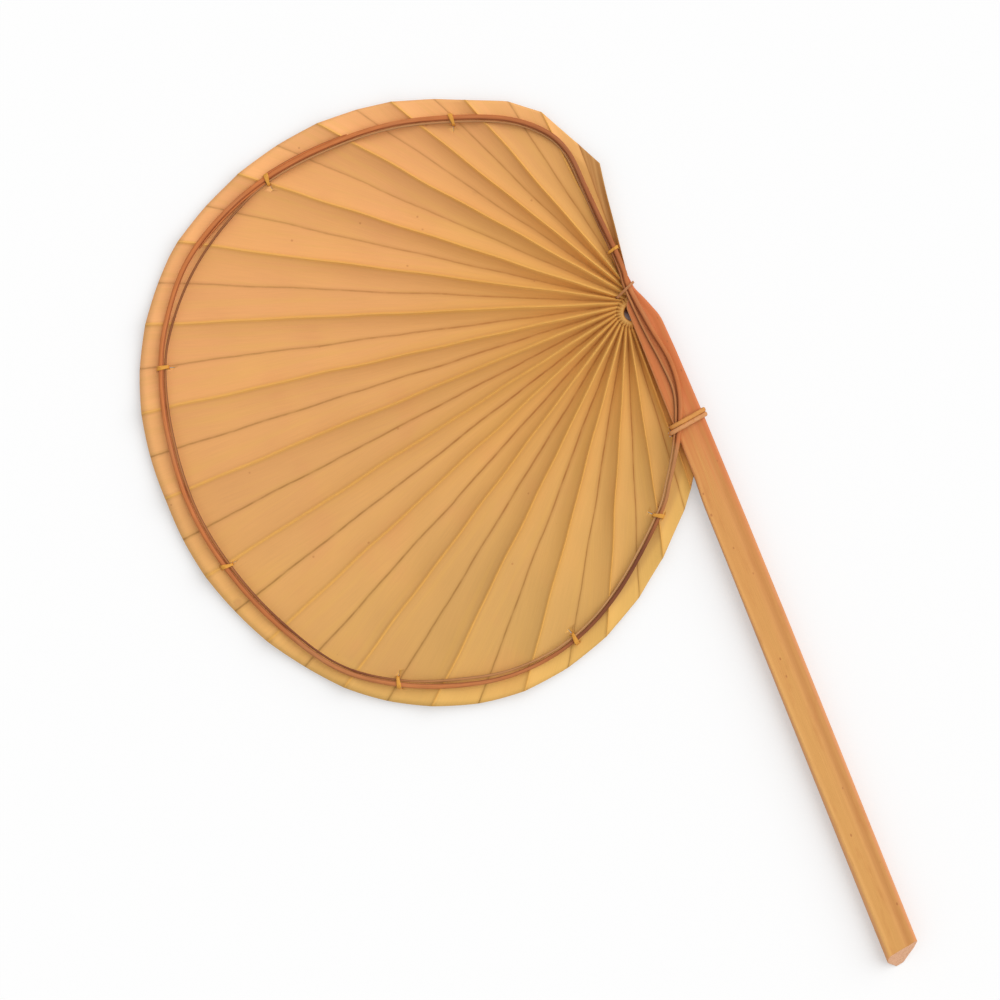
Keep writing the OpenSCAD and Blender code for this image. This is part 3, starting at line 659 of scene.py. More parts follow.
CROWN_OVALS = [(-x, z, w + SEAT, h + 2 * TIE_PLAY) for x, z, w, h in crossings(AT_CROWN, CROWN_TURN)]
CROWN_OVALS += [(CROWN_RIGHT, stalk_level(ROUTE[AT_CROWN], side) + side * SEAT, 0, 0) for side in (1, -1)]
CROWN_OVALS += [(CROWN_LEFT, LEAF_Z + side * CROWN_LEAF_HALF, 0, 0) for side in (1, -1)]


# A tie's corners, the share of its slant that shows behind, and the length its fibres take for a turn
TIE_CORNER_R, SLANT_BEHIND, TIE_TURN_L = 0.3, 0.6, 40


def rounded_bar(w, t, r, steps):
    """Rounded rectangle, w along the first axis and t along the second."""
    corners = [(1, 1, 0), (-1, 1, 90), (-1, -1, 180), (1, -1, 270)]
    return np.array([
        (sx * (w / 2 - r) + r * math.cos(math.radians(a0 + 90 * k / steps)),
         sy * (t / 2 - r) + r * math.sin(math.radians(a0 + 90 * k / steps)))
        for sx, sy, a0 in corners for k in range(steps + 1)])


def band(ovals, slant, wide, taper, count=64):
    """A flat strip round some ovals: points in the plane of the tie, X across and Y along the cane.

    Its width is a share of TIE_W: wide towards the rim, taper towards the hub.
    """
    bar = rounded_bar(TIE_W, TIE_T, TIE_CORNER_R, 3)
    xs = [o[0] for o in ovals]
    low, high = min(xs), max(xs)
    points = []
    for k in range(count):
        d = polar(1, 360 * k / count)
        foot = farthest(ovals, d)
        w = mix(wide, taper, np.clip((foot[0] - low) / max(high - low, 1e-6), 0, 1))
        lean = slant * mix(SLANT_BEHIND, 1, (1 + d[1]) / 2)
        for y, r in bar:
            p = foot + (SEAT + TIE_T / 2 + r) * d
            points.append((p[0], y * w + lean * (p[0] - mix(low, high, 0.5)), p[1]))
    along = np.repeat(np.arange(count) * TIE_TURN_L / count, len(bar))
    paint = {"gone_mm": along, "across_mm": np.tile(bar[:, 0], count)}
    return np.array(points), tube_faces(count, len(bar), True), paint


def turned(points, origin, degrees):
    a = math.radians(degrees)
    spin = np.array([[math.cos(a), -math.sin(a)], [math.sin(a), math.cos(a)]])
    out = np.array(points, float)
    out[:, :2] = out[:, :2] @ spin.T + origin
    return out


def route_turn(i):
    inward = route_inward(i)
    return math.degrees(math.atan2(inward[1], inward[0]))


def make_tie(name, node, i, turn, strip, material):
    points, faces, paint = strip
    tie = make_mesh(name, turned(points, route_flat(i) + HUB, turn), faces, paint)
    settle(tie, material, "tie", node)


# Stalk's right flank, as height and X
FLANK_RIGHT = GRIP_RIGHT + HUB[0]
SECTION_RIGHT = [
    (FLANK_T * (1 - math.cos(a)),
     mix(KEEL_W / 2, FLANK_RIGHT, mix(1 - math.cos(a), math.sin(a), FLANK_BULGE)))
    for a in np.radians(np.linspace(0, 90, 7))
]

LASH_AT = route_flat(AT_LASHING)
LASH_ALONG = unit(LASH_AT - route_flat(AT_LASHING - 1))
LASH_MID_X = (NECK_LEFT + NECK_RIGHT) / 2 + HUB[0]
LASH_LEFT_X, LASH_RIGHT_X = NECK_LEFT + HUB[0], NECK_RIGHT + HUB[0]
LASH_Y = HUB[1] + LASH_AT[1] + LASH_PITCH * ((LASH_TURNS - 1) / 2 + LASH_FRONT)


def lash_cane(inner, side, y):
    near = [cane_point(i, inner, side) for i in range(AT_LASHING - 2, AT_LASHING + 2)]
    x, z = [float(lookup(y, [(p[1], p[axis]) for p in near])) for axis in (0, 2)]
    w, h = CANE_SIZES[inner]
    return (x, z, w / 2 / LASH_ALONG[1] + LASH_PLAY, h / 2 + TIE_PLAY)


def lash_ovals(y):
    corners = [
        (LASH_LEFT_X, NECK_FRONT), (LASH_LEFT_X, NECK_BACK), (LASH_RIGHT_X + LASH_PLAY, NECK_FRONT),
        (min(LASH_RIGHT_X, lookup(NECK_BACK, SECTION_RIGHT)) + LASH_PLAY, NECK_BACK),
        (LASH_RIGHT_X + LASH_PLAY, lookup(LASH_RIGHT_X, [(x, z) for z, x in SECTION_RIGHT]))]
    corners += [
        (min(LASH_RIGHT_X, x) + LASH_PLAY, z) for z, x in SECTION_RIGHT if NECK_BACK < z < NECK_FRONT]
    return [lash_cane(inner, side, y) for side in (1, -1) for inner in (False, True)] + [
        (x, z, 0, 0) for x, z in corners]


def lash_flat(k, per_turn):
    y = LASH_Y - LASH_PITCH * k / per_turn + LASH_LEAN * (LASH_LEFT_X - LASH_MID_X)
    d = polar(1, LASH_FIRST + 360 * k / per_turn)
    return farthest(lash_ovals(y), d) + (LASH_D / 2 + SEAT) * d


def lashing_path(per_turn):
    last = per_turn * LASH_TURNS - 1
    loops = [lash_flat(k, per_turn) for k in range(last + 1)]
    gone_at = travel(loops)
    girth = gone_at[per_turn]

    def place(q, gone):
        return [q[0], LASH_Y - LASH_PITCH * gone / girth + LASH_LEAN * (q[0] - LASH_MID_X), q[1]]

    top = NECK_BACK - SEAT
    foot = top - LASH_D
    before, after = lash_flat(-1, per_turn), lash_flat(last + 1, per_turn)
    first_run, last_run = loops[0] - before, after - loops[-1]
    first_turn = before + first_run * (foot - LASH_BEND - before[1]) / first_run[1]
    last_turn = loops[-1] + last_run * (foot - LASH_BEND - loops[-1][1]) / last_run[1]
    first_gone = -np.linalg.norm(loops[0] - first_turn)
    last_gone = gone_at[-1] + np.linalg.norm(last_turn - loops[-1])

    def stub(q, z, gone):
        return [*place(q, gone)[:2], z]

    path = [stub(first_turn, top, first_gone), stub(first_turn, foot, first_gone)]
    path.append(place(first_turn + LASH_BEND * unit(first_run), first_gone + LASH_BEND))
    path += [place(q, gone) for q, gone in zip(loops, gone_at)]
    path.append(place(last_turn - LASH_BEND * unit(last_run), last_gone - LASH_BEND))
    path += [stub(last_turn, foot, last_gone), stub(last_turn, top, last_gone)]
    return np.array(path)


LASH_PER_TURN, LASH_STEP, LASH_SIDES, LASH_SQUARENESS, LASH_GIRTH = 72, 0.6, 14, 0.85, 6


def make_lashing(material):
    path = lashing_path(LASH_PER_TURN)
    keep = [0] + [k for k in range(1, len(path)) if np.linalg.norm(path[k] - path[k - 1]) > 1e-3]
    path = path[keep]
    gone = travel(path)
    even = np.arange(0, gone[-1], LASH_STEP)
    even = np.concatenate([even[:-1], [gone[-1]]])
    path = np.stack([np.interp(even, gone, path[:, k]) for k in range(3)], axis=1)
    for _ in range(2):
        path[2:-2] = 0.25 * path[1:-3] + 0.5 * path[2:-2] + 0.25 * path[3:-1]
    section = oval_section(LASH_D, LASH_WIDE, LASH_SIDES, LASH_SQUARENESS)
    swell = 1 + 0.02 * np.sin(even * 0.9) + 0.015 * np.sin(even * 2.3 + 1)
    points, faces = sweep(path, section, False, (0, 1, 0), swell)
    across = np.arange(LASH_SIDES) / LASH_SIDES * LASH_GIRTH
    paint = {"gone_mm": np.repeat(even, LASH_SIDES), "across_mm": np.tile(across, len(path))}
    strand = make_mesh("handle_lashing_strand", points, faces, paint)
    settle(strand, material, "tie", "handle_lashing")


# Slits in the leaf, where a tie has the mean of its slants in front and behind
SLANT_AT_LEAF = (1 + SLANT_BEHIND) / 2
CUT_HEIGHTS = (-1, 30)


def prism(outline, origin, degrees, first):
    """Upright cutter with the given outline, and its faces numbered from first."""
    n = len(outline)
    points = [(x, y, z) for z in CUT_HEIGHTS for x, y in outline]
    faces = [[first + k for k in range(n)][::-1], [first + n + k for k in range(n)]]
    faces += [[first + k, first + (k + 1) % n, first + n + (k + 1) % n, first + n + k] for k in range(n)]
    return turned(points, origin, degrees).tolist(), faces


def box_outline(x0, x1, y0, y1):
    return [(x0, y0), (x1, y0), (x1, y1), (x0, y1)]


def cut_leaf(leaf):
    deep = TIE_T + 2 * SLIT_GAP
    cuts = []
    for name, (i, slant, wide, taper) in TIES.items():
        where = (route_flat(i) + HUB, route_turn(i))
        lean, middle = SLANT_AT_LEAF * slant, cane_spacing(i) / 2
        x = -OUTER_W / 2 - SEAT - TIE_T - SLIT_GAP
        half, y = wide * TIE_W / 2 + SLIT_GAP, lean * (x - middle)
        cuts.append((box_outline(x, x + deep, y - half, y + half), *where))
        x = cane_spacing(i) + INNER_W / 2 + SEAT - SLIT_GAP
        half, y = taper * TIE_W / 2 + SLIT_GAP, lean * (x - middle)
        out = x + deep
        end = out + (FLAP_TAIL_L if name == "flap_tie" else SLIT_TAIL_L)
        tail = (OPEN_TAIL_W if name in OPEN_SLITS else CLOSED_TAIL_W) / 2
        tip = TAIL_TIP * tail
        cuts.append(([
            (x, y - half), (out, y - half), (out, y - tail), (end, y - tip),
            (end, y + tip), (out, y + tail), (out, y + half), (x, y + half)], *where))
    x, half = CROWN_LEFT - SEAT - TIE_T - SLIT_GAP, CROWN_WIDE * TIE_W / 2 + SLIT_GAP
    cuts.append((box_outline(x, x + deep, -half, half), route_flat(AT_CROWN) + HUB, CROWN_TURN))
    # The lashing goes through beside the stalk, once for each turn.
    beside = [p for p in lashing_path(LOOP_RINGS) if p[0] < LASH_LEFT_X and abs(p[2] - LEAF_Z) < PLEAT_RIM]
    half = len(beside) // 2
    for run in (beside[:half], beside[half:]):
        low, high = np.min(run, axis=0) - LASH_D / 2, np.max(run, axis=0) + LASH_WIDE / 2
        low[1] -= (LASH_WIDE - LASH_D) / 2
        cuts.append((box_outline(low[0], LASH_LEFT_X, low[1], high[1]), np.zeros(2), 0))
    points, faces = [], []
    for outline, origin, degrees in cuts:
        more, sides = prism(outline, origin, degrees, len(points))
        points += more
        faces += sides
    cutter = make_mesh("cutter", points, faces, smooth=False)
    cut = leaf.modifiers.new("cut", "BOOLEAN")
    cut.operation, cut.solver, cut.object = "DIFFERENCE", "EXACT", cutter
    bpy.context.view_layer.update()
    graph = bpy.context.evaluated_depsgraph_get()
    cut_piece = leaf.evaluated_get(graph)
    result = bpy.data.meshes.new_from_object(cut_piece, preserve_all_data_layers=True, depsgraph=graph)
    leaf.modifiers.clear()
    leaf.data = result
    bpy.data.objects.remove(cutter)


# Collar, with a thin sheet behind its crescent, guessed as a web of the leaf's base and painted as the shade
# seen through the hole
SHADE_SHEET_T = 0.35
COLLAR_FROM, COLLAR_TO, COLLAR_STEPS = 90, 255, 240
# From this radius on, the collar reaches some degrees further at its ends, and further out at the top
REACH_R, REACH_GROWS, REACH_TOP, REACH_LOW, REACH_EASE = 6.2, 2, 4.5, 3.2, 8
TOP_OUT, TOP_OUT_EASE = 0.9, 9


def make_collar(material):
    r_in, r_out = PLEAT_START_R - 2 * SEAT - COLLAR_W, PLEAT_START_R
    half = (PLEAT_RIM + LEAF_T) / 2
    shade_sheet_z, crest = SHADE_SHEET_T - half, r_in + 1.1
    # Section as radius and height: under the shade sheet and the collar, up the outside, and over the top
    section = [
        (r_in - 0.05, -0.5 * half), (r_in - 0.6, shade_sheet_z), (0.4, shade_sheet_z), (0.4, -half), (r_in + 1, -half),
        (r_out - 0.8, -half), (r_out, -0.6 * half),
    ]
    section += [(float(r), None) for r in np.linspace(r_out, crest, 9)]
    section += [(crest - 0.5, 0.97 * half), (crest - 0.9, 0.78 * half), (r_in, 0.5 * half), (r_in - 0.05, 0)]
    points, paint = [], []
    for k in range(COLLAR_STEPS + 1):
        for r, z in section:
            a = mix(COLLAR_FROM, COLLAR_TO, k / COLLAR_STEPS)
            outer = min(max((r - REACH_R) / REACH_GROWS, 0), 1)
            top, low = [max(0, 1 - gap / REACH_EASE) for gap in (a - COLLAR_FROM, COLLAR_TO - a)]
            a += outer * (REACH_LOW * low - REACH_TOP * top)
            r += TOP_OUT * outer * max(0, 1 - (a - COLLAR_FROM + REACH_TOP) / TOP_OUT_EASE)
            x, y = polar(1, a)
            fold = float(lookup(a, [(angle, i) for i, angle in COLLAR_STARTS]))
            if z is None:
                pleat = LEAF_T / 2 + PLEAT_FIRST / 2 * math.cos(math.pi * fold)
                out = (r - crest) / (r_out - crest)
                z = mix(1.03 * half, pleat, out * out * (3 - 2 * out))
            points.append((HUB[0] + r * x, HUB[1] + r * y, LEAF_Z + z))
            paint.append((a, r, fold))
    paint = dict(zip(("angle", "radial_mm", "fold"), zip(*paint)))
    collar = make_mesh("collar_arc", points, tube_faces(COLLAR_STEPS + 1, len(section)), paint)
    settle(collar, material, "collar", "leaf_collar")


# Stalk
LEAF_FOOT = float(rim_at(fold_angle(FOLDS - 1))) + 1.2
BUTT = -STALK_L - 20
PLAN_LEFT = [
    (HEAD_END, 5.1), (17.5, 4.4), (13, 2.7), (8.4, 1), (4, NECK_LEFT), (-LEAF_FOOT, NECK_LEFT),
    (-LEAF_FOOT - WEDGE_L, GRIP_LEFT), (BUTT, GRIP_LEFT),
]
PLAN_RIGHT = [
    (HEAD_END, 5.5), (12, 6.2), (4.5, 9.5), (-7.3, SHOULDER_RIGHT), (-27, SHOULDER_RIGHT + 0.9),
    (-65, NECK_RIGHT), (-127, NECK_RIGHT + 0.6), (-200, GRIP_RIGHT), (BUTT, GRIP_RIGHT),
]
# Millimetres along the stalk over which its lines are rounded, less near the head
LEFT_EASE, RIGHT_EASE, HEIGHT_EASE, HEAD_EASE = 1.5, 3, 6, 12
# Radius of the front's right edge, and its height and width as shares of that
EDGE_R, EDGE_MOST, EDGE_H, EDGE_W = 0.7, 0.2, 1.3, 1.6
# The groove in the front, and how far the front is rounded
GROOVE_D, GROOVE_AT, GROOVE_HALF, FRONT_ROUND, FULL_W = 0.32, 0.26, 0.12, 0.12, 16


def smooth_lookup(v, table, spread):
    """Lookup with its corners rounded over some millimetres."""
    offsets = np.linspace(-spread, spread, EASE_POINTS)
    return float(np.mean([lookup(v + o, table) for o in offsets]))


def stalk_section(v):
    """Section of the stalk at a place along it: (u, z) points and how each is painted."""
    ease = min(max((HEAD_END - v) / HEAD_EASE, 0.05), 1)
    left = smooth_lookup(v, PLAN_LEFT, LEFT_EASE * ease)
    right = smooth_lookup(v, PLAN_RIGHT, RIGHT_EASE * ease)
    back = smooth_lookup(v, STALK_BACK, HEIGHT_EASE * ease)
    front = smooth_lookup(v, STALK_FRONT, HEIGHT_EASE * ease)
    wide = right - left
    r = min(EDGE_R, wide * EDGE_MOST)

    def left_at(z):
        return max(left, mix(-KEEL_W / 2 - HUB[0], GRIP_LEFT, min(z / (0.5 * GRIP_T), 1)))

    def right_at(z):
        return min(right, lookup(z, SECTION_RIGHT) - HUB[0])

    band_w = TRIM_W * np.clip((TRIM_START - v) / TRIM_L, 0, 1) + r
    drop = TRIM_SHARE * band_w
    turn_u = right_at(front - r) - EDGE_W * r
    points = [
        (mix(left_at(back) + 0.3 * r, right_at(back) - 0.3 * r, t), back, 0.5, 0)
        for t in np.linspace(0, 1, 7)]
    for t in np.linspace(0.02, 1, 10):
        z = mix(back, front - EDGE_H * r, t)
        points.append((right_at(z), z, 1, 0))
    for a in np.radians((35, 65, 88)):
        u = right_at(front - r) - EDGE_W * r * (1 - math.cos(a))
        points.append((u, front - EDGE_H * r * (1 - math.sin(a)), 1, 0))
    for t in np.linspace(0.04, 0.96, 15):
        groove = GROOVE_D * math.exp(-((t - GROOVE_AT) / GROOVE_HALF) ** 2)
        groove -= FRONT_ROUND * math.sin(math.pi * t)
        points.append((mix(turn_u, left + band_w, t), front - groove * min(wide / FULL_W, 1), 1 - t, 0))
    for t in (0.1, 0.5, 0.9):
        points.append((mix(left + band_w, left_at(front - drop), t), front - drop * t ** 1.3, 0, t))
    for t in np.linspace(0, 0.98, 6):
        z = mix(front - drop - 0.15, back + 0.1, t)
        points.append((left_at(z), z, 0, 1))
    return points


# Where the sections get wider apart, and where the butt starts
NECK_MIDDLE, BUTT_BASE = -30, -360
# The butt's facet is steeper than in the part's source and ends a little beyond it.
FACET_SLOPE, FACET_OVER = BUTT_SLOPE + 12, 0.4
# Below a share of the grip's height the keel draws in towards this place, by this share.
KEEL_BELOW, KEEL_TO, KEEL_DRAWN = 0.6, 4.5, 0.45
# Rings of the butt: how far along to the facet, how wide, and whether painted as its cut
BUTT_RINGS = [(t, 1, 0) for t in (0.3, 0.6, 0.85, 0.95, 0.985)]
BUTT_RINGS += [(0.995, 0.985, 0), (1, 0.96, 1), (1, 0.9, 1), (1, 0.7, 1), (1, 0.4, 1)]
# A slow wave along the upper part
WAVE_H, WAVE_L, WAVE_ABOVE = 0.10, 23, 6


def make_stalk(material):
    stations = np.concatenate([
        HEAD_END - np.array([0, 0.25, 0.7, 1.4]), np.arange(HEAD_END - 2.4, NECK_MIDDLE, -1.4),
        np.arange(NECK_MIDDLE, BUTT_BASE, -3.2)])
    points, paint = [], []
    for v in stations:
        for u, z, across, side in stalk_section(v):
            wave = WAVE_H * math.sin(v / WAVE_L) if z > WAVE_ABOVE else 0
            points.append((u + HUB[0], v + HUB[1], z + wave))
            paint.append((across, side, 0, v))
    base = stalk_section(BUTT_BASE)
    slope = math.tan(math.radians(FACET_SLOPE)) / math.cos(math.radians(BUTT_TURN))
    turn = math.tan(math.radians(BUTT_TURN))

    def facet_at(u, z):
        return -STALK_L + FACET_OVER + turn * u - slope * (GRIP_T - z)

    middle = np.mean([(u, z) for u, z, *_ in base], axis=0)
    for t, size, butt in BUTT_RINGS:
        for u, z, across, side in base:
            u, z = middle + (np.array([u, z]) - middle) * size
            u = mix(u, KEEL_TO, KEEL_DRAWN * t * (1 - min(max(z / (KEEL_BELOW * GRIP_T), 0), 1)))
            v = mix(BUTT_BASE, facet_at(u, z), t)
            points.append((u + HUB[0], v + HUB[1], z))
            paint.append((across, side, butt, v))
    sides, n = len(base), len(points)
    # These rings run the other way round, and the facet gets a point in its middle instead of a cap.
    faces = [(a, d, c, b) for a, b, c, d in tube_faces(n // sides, sides)[:-2]]
    faces += [(n - sides + s, n - sides + (s + 1) % sides, n) for s in range(sides)]
    faces.append(list(range(sides))[::-1])
    points.append((middle[0] + HUB[0], facet_at(*middle) + HUB[1], middle[1]))
    paint.append((0.5, 0, 1, facet_at(*middle)))
    paint = dict(zip(("across", "left_side", "butt", "v_mm"), zip(*paint)))
    settle(make_mesh("stalk_grip", points, faces, paint), material, "stalk", "stalk_handle")


# Materials
def leaf_material():
    n = Nodes("dry_palm_leaf", 0.6, 0.15)
    rib, seam, along, panel = n.read("rib_mm", "seam_mm", "along_mm", "panel")
    rim, flap, spread, shows = n.read("rim_mm", "flap", "rib_spread", "seam_shows")
    # From pinkish at the upper left of the photo to olive yellow at the bottom right
    slope = n.maths("ADD", n.times(n.part(n.place, 0), -0.39), n.times(n.part(n.place, 1), 0.92))
    up = n.step(slope, 0.12, 0.47)
    n.base = n.mix(up, (212, 164, 94), (233, 165, 105))
    n.tint(n.step(n.noise(n.place, 16, 3), 0.40, 0.72), (233, 174, 97), 0.35)
    n.tint(n.step(n.noise(n.place, 31, 2), 0.52, 0.75), (222, 150, 98), 0.25)
    # Duller near the hub, and darker close to it: partly the leaf's own tone, partly painted shade where the
    # pleats crowd
    n.tint(n.step(along, 20, 150, 1, 0), (221, 165, 88), 0.75)
    n.brighten(n.step(along, 16, 42, 0.9, 1))
    # Brighter in the margin: a lighter tone, and painted light that lifts the shadow the canes cast there
    margin_tone_and_light = n.step(rim, 9, 18, 1, 0)
    n.tint(margin_tone_and_light, n.mix(up, (228, 182, 96), (236, 174, 116)), 0.5)
    n.brighten(n.step(margin_tone_and_light, 0, 1, 1, 1.12))
    # The first panel: a flap with its own stripes, painted darker as painted shade, less so near its free
    # edge
    stripes = n.noise(n.vector(rib, (along, 0.01)), 0.3, 2)
    flap_shade_colour = n.mix(n.step(stripes, 0.3, 0.7), (182, 124, 68), (206, 152, 92))
    n.tint(flap, flap_shade_colour, n.step(rib, 0.8, 1.8, 0.2, 0.9))
    # Each panel has its own tone, and fibres run along it.
    tone = n.noise(n.vector((panel, 7.3)), 1, 0)
    n.brighten(n.step(tone, 0.25, 0.75, 0.965, 1.035))
    fibre = n.noise(n.vector(rib, (along, 0.03), (panel, 5)), 1.6, 4, 0.6)
    n.brighten(n.step(fibre, 0.2, 0.8, 0.968, 1.032))
    wide_fibre = n.noise(n.vector((rib, 0.25), (along, 0.006), panel), 1, 2)
    n.tint(n.step(wide_fibre, 0.45, 0.7), (226, 176, 92), 0.22)
    # Valleys: a thin brown line, patchy along its length, inside a wider painted soft shade that is wider and
    # stronger near the hub
    patchy = n.noise(n.vector((along, 0.12), panel), 1, 3)
    seam_and_shade_colour = n.mix(n.step(along, 60, 220), (150, 80, 26), (138, 92, 38))
    painted_valley_shade = n.step(seam, 0.2, n.step(along, 50, 130, 3.4, 2.4), 1, 0)
    painted_valley_shade = n.times(painted_valley_shade, n.step(along, 50, 150, 0.26, 0.17))
    line = n.times(n.step(seam, 0.15, 0.8, 0.5, 0), n.step(patchy, 0.3, 0.62, 0.35, 1))
    n.tint(n.maths("ADD", painted_valley_shade, line), seam_and_shade_colour, shows)
    # Ridges: a raised rib painted yellow, partly its own colour and partly a painted highlight, with a faint
    # painted shade beside it
    n.tint(n.step(rib, 0.9, 3, 0.08, 0), seam_and_shade_colour)
    rib_and_highlight_colour = n.mix(n.step(along, 20, 110), (244, 188, 100), (236, 177, 88))
    n.tint(n.step(rib, 0.4, spread, 0.85, 0), rib_and_highlight_colour, n.step(patchy, 0.2, 0.7, 1, 0.7))
    # Small specks and larger spots
    n.tint(n.dots(n.place, 130, 0.11, 0.10), (180, 108, 64), 0.45)
    n.tint(n.dots(n.place, 34, 0.11, 0.22), (186, 130, 82), 0.3)
    return n.finish(fibre, 0.0002, 0.35)


def collar_material():
    n = Nodes("collar_fibre", 0.5, 0.25)
    angle, radial, fold = n.read("angle", "radial_mm", "fold")
    fibre = n.noise(n.vector((radial, 1.5), (angle, 0.08)), 2, 4, 0.6)
    n.base = n.mix(n.step(fibre, 0.3, 0.7), (206, 146, 72), (232, 176, 96))
    # Dark lines where the valleys start, a painted shade at the crescent, and the sheet inside it painted
    # dark brown to blue-grey as the shade in the hole
    ridge = n.maths("COSINE", n.times(fold, math.pi))
    lines = n.times(n.step(ridge, -0.95, -0.1, 1, 0), n.step(radial, 6.4, 8.6))
    n.tint(lines, (150, 90, 34), 0.7)
    n.tint(n.step(radial, 4.4, 5.2, 0.45, 0), (150, 92, 46))
    hole_shade_colour = n.mix(n.step(angle, 130, 200), (100, 58, 38), (170, 164, 166))
    n.tint(n.step(radial, 4, 4.5, 1, 0), hole_shade_colour)
    return n.finish(fibre, 0.0003, 0.5)


def stalk_material():
    n = Nodes("palm_stalk", 0.5, 0.3)
    across, left, butt, v = n.read("across", "left_side", "butt", "v_mm")
    streak = n.noise(n.vector((across, 9), (v, 0.012), (left, 3)), 1, 4, 0.55)
    fine = n.noise(n.vector((across, 60), (v, 0.05), left), 1, 3, 0.6)
    n.base = n.mix(n.step(across, 0.35, 0.8), (219, 159, 86), (212, 148, 82))
    n.tint(n.step(streak, 0.35, 0.7, 0, 0.5), (225, 164, 92))
    # Bands along the front, where across is 0 at its left edge and 1 at its right: a painted shade in the
    # groove right of the middle, a lighter orange right edge, and a painted highlight along the left edge.
    n.tint(n.step(across, 0.58, 0.72), (202, 138, 74), n.step(across, 0.78, 0.92, 0.7, 0))
    n.tint(n.step(across, 0.92, 0.985, 0, 0.8), (228, 152, 98))
    n.tint(n.step(across, 0, 0.16, 0.75, 0), (240, 180, 106))
    # Redder towards the leaf, in uneven streaks
    reach = n.maths("ADD", v, n.step(streak, 0.2, 0.8, -26, 26))
    n.tint(n.step(reach, -250, -120, 0, 0.35), (214, 140, 74))
    n.tint(n.step(reach, -125, -25, 0, 0.9), (208, 114, 60))
    n.tint(n.step(across, 0.80, 0.93), (214, 118, 66), n.step(v, -190, -40, 0, 0.6))
    # The left side face painted lighter, lifting the shade that falls on it
    n.tint(n.step(left, 0.2, 0.6, 0, 0.85), (228, 162, 108))
    n.brighten(n.step(fine, 0.2, 0.8, 0.95, 1.05))
    # Stains and specks
    stain = n.noise(n.vector((across, 3), (v, 0.035), left), 1, 4, 0.65)
    n.tint(n.step(stain, 0.5, 0.72, 0, 0.4), (200, 128, 66))
    n.tint(n.dots(n.vector((across, 17), (v, 0.6), left), 0.2, 0.14, 0.30), (172, 96, 52), 0.6)
    # Pith with pores on the butt
    pith = n.noise(n.place, 900, 3, 0.6)
    end = n.mix(n.step(pith, 0.4, 0.65), (238, 184, 144), (224, 166, 128))
    end = n.mix(n.times(n.dots(n.place, 1300, 0.22, 0.5), 0.45), end, (176, 116, 82))
    n.tint(n.step(butt, 0.4, 0.8), end)
    return n.finish(fine, 0.0002, 0.4)


def cane_material(name, top, side, inner_shade_colour, grey, bark_from):
    """Split cane: its own tone on top, painted shade down its sides, and a deeper painted shade on the side
    that faces the middle of the leaf.
    """
    n = Nodes(name, 0.5, 0.15)
    gone, outward, upward, dark, pale = n.read("gone_mm", "outward", "upward", "dark", "pale")
    streak = n.noise(n.vector((outward, 1.6), (gone, 0.05), upward), 2, 4, 0.6)
    # Painted shade: the sides darker than the top
    n.base = n.mix(n.step(upward, 0.2, 0.95), side, top)
    long_tone = n.noise(n.vector((gone, 0.02)), 1, 2)
    n.tint(n.step(long_tone, 0.45, 0.75, 0, 0.6), grey)
    # Painted shade on the side that faces the middle of the leaf
    n.tint(n.step(outward, -0.2, -0.75, 0, 0.85), inner_shade_colour)
    # Paleness and darkness along the cane: partly its own tone, partly painted light and painted shade
    n.tint(pale, (198, 148, 98))
    n.tint(dark, (114, 64, 44))
    n.brighten(n.step(streak, 0.25, 0.75, 0.84, 1.14))
    # Rough patches of dark bark
    patch = n.noise(n.vector((gone, 0.045), 7), 1, 1)
    rough = n.noise(n.vector((gone, 1.1), outward, upward), 1, 2)
    bark = n.times(n.step(patch, bark_from, bark_from + 0.05), n.step(rough, 0.35, 0.6))
    n.tint(bark, (84, 52, 46), 0.85)
    return n.finish(streak, 0.0002, 0.5)


def tie_material(name, light, dark, later=None):
    """Palm strip; later is the light colour of a second turn."""
    n = Nodes(name, 0.5, 0.15)
    gone, across = n.read("gone_mm", "across_mm")
    fibre = n.noise(n.vector((across, 2.5), (gone, 0.25)), 1.6, 4, 0.6)
    if later:
        light = n.mix(n.step(gone, 44, 52), light, later)
    n.base = n.mix(n.step(fibre, 0.25, 0.72), dark, light)
    n.tint(n.step(n.noise(n.place, 420, 2), 0.55, 0.8, 0, 0.4), (170, 104, 52))
    return n.finish(fibre, 0.0003, 0.6)


# Pieces
leaf = make_leaf()
cut_leaf(leaf)
settle(leaf, leaf_material(), "leaf", "palm_leaf")
make_collar(collar_material())
make_stalk(stalk_material())
outer = cane_material("outer_cane", (203, 120, 66), (196, 106, 54), (160, 88, 50), (196, 130, 84), 0.78)
inner = cane_material("inner_cane", (184, 116, 66), (168, 98, 56), (112, 66, 44), (186, 132, 84), 0.72)
make_cane("front_outer_cane", False, 1, outer)
make_cane("front_inner_cane", True, 1, inner)
for name, (first, last, offset) in CANE_ENDS.items():
    make_cane_end(name, first, last, offset, outer)
make_cane("back_outer_cane", False, -1, outer)
make_cane("back_inner_cane", True, -1, inner)
palm = tie_material("palm_tie", (236, 172, 74), (204, 134, 52))
for name, (i, *form) in TIES.items():
    make_tie(name + "_strip", name, i, route_turn(i), band(crossings(i, 0), *form), palm)
crown = tie_material("crown_strand", (206, 146, 96), (170, 104, 64))
crown_strip = band(CROWN_OVALS, 0, CROWN_WIDE, CROWN_WIDE, 96)
make_tie("crown_tie_strand", "crown_tie", AT_CROWN, CROWN_TURN, crown_strip, crown)
make_lashing(tie_material("lashing_strand", (224, 158, 84), (206, 138, 72), (222, 160, 112)))


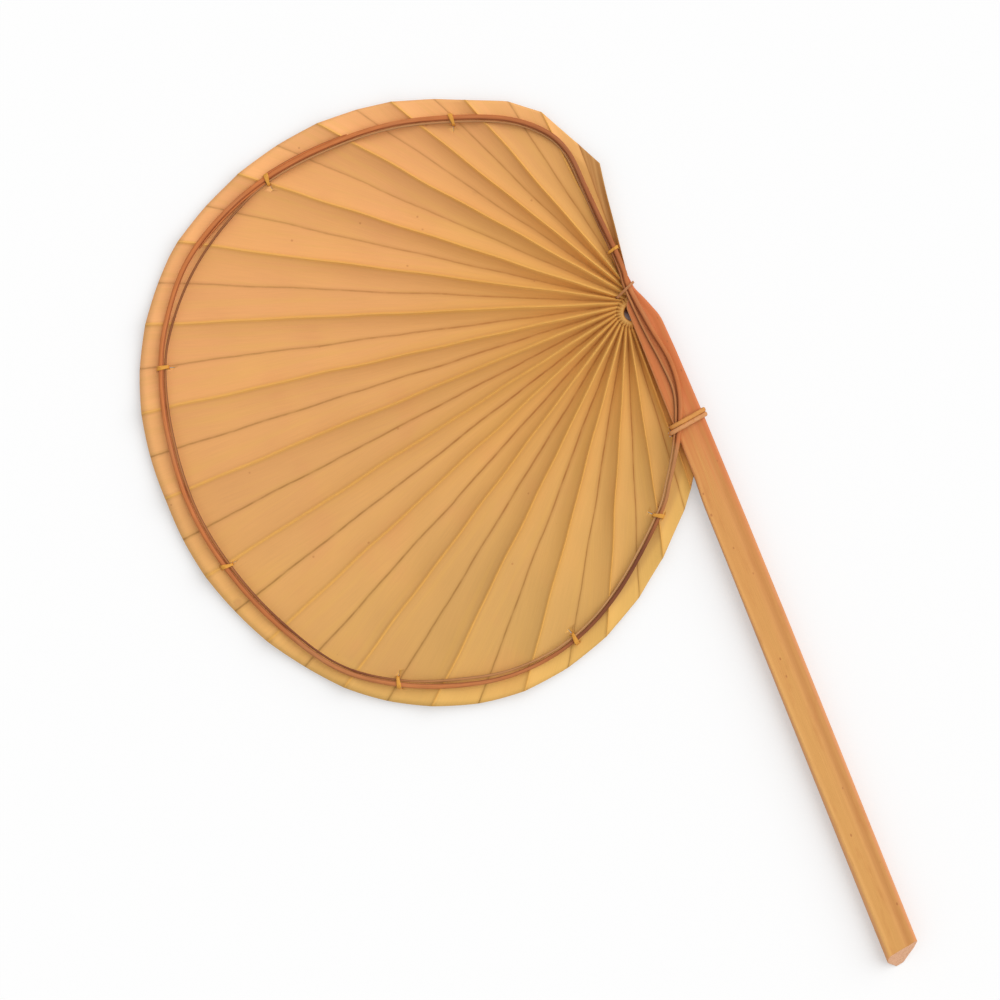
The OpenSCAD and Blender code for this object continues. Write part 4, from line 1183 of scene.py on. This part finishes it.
# Floor and light
FLOOR_SIZE, FLOOR_AT = 8, (-0.1, 0.2, -0.0004)
FLOOR_GREY, FLOOR_GLOW = 0.68, 0.31
SUN_SHARE, SUN_RISE, SUN_TURN, SUN_ACROSS, SUN_AWAY = 0.40, 47, 10, 70, 2


def make_floor():
    bpy.ops.mesh.primitive_plane_add(size=FLOOR_SIZE, location=FLOOR_AT)
    floor = bpy.context.object
    floor.name = "floor"
    material = bpy.data.materials.new("floor")
    material.use_nodes = True
    tree = material.node_tree
    tree.nodes.clear()
    kinds = ("OutputMaterial", "BsdfDiffuse", "Emission", "LightPath", "Math", "AddShader")
    output, diffuse, glow, path, strength, add = [tree.nodes.new("ShaderNode" + kind) for kind in kinds]
    diffuse.inputs["Color"].default_value = (FLOOR_GREY, FLOOR_GREY, FLOOR_GREY, 1)
    strength.operation = "MULTIPLY"
    strength.inputs[1].default_value = FLOOR_GLOW
    for start, end in (
            (path.outputs["Is Camera Ray"], strength.inputs[0]),
            (strength.outputs[0], glow.inputs["Strength"]), (diffuse.outputs[0], add.inputs[0]),
            (glow.outputs[0], add.inputs[1]), (add.outputs[0], output.inputs["Surface"])):
        tree.links.new(start, end)
    floor.data.materials.append(material)


def make_light():
    world = bpy.data.worlds.new("studio")
    bpy.context.scene.world = world
    world.use_nodes = True
    sky = world.node_tree.nodes["Background"]
    sky.inputs["Color"].default_value = (1, 1, 1, 1)
    sky.inputs["Strength"].default_value = 1 - SUN_SHARE
    data = bpy.data.lights.new("key", "SUN")
    data.energy = math.pi * SUN_SHARE / math.sin(math.radians(SUN_RISE))
    data.angle = math.radians(SUN_ACROSS)
    key = bpy.data.objects.new("key", data)
    rise, turn = math.radians(SUN_RISE), math.radians(SUN_TURN)
    towards = Vector((math.cos(rise) * math.cos(turn), math.cos(rise) * math.sin(turn), math.sin(rise)))
    key.rotation_euler = towards.to_track_quat("Z", "Y").to_euler()
    key.location = towards * SUN_AWAY
    bpy.context.scene.collection.objects.link(key)


make_floor()
make_light()
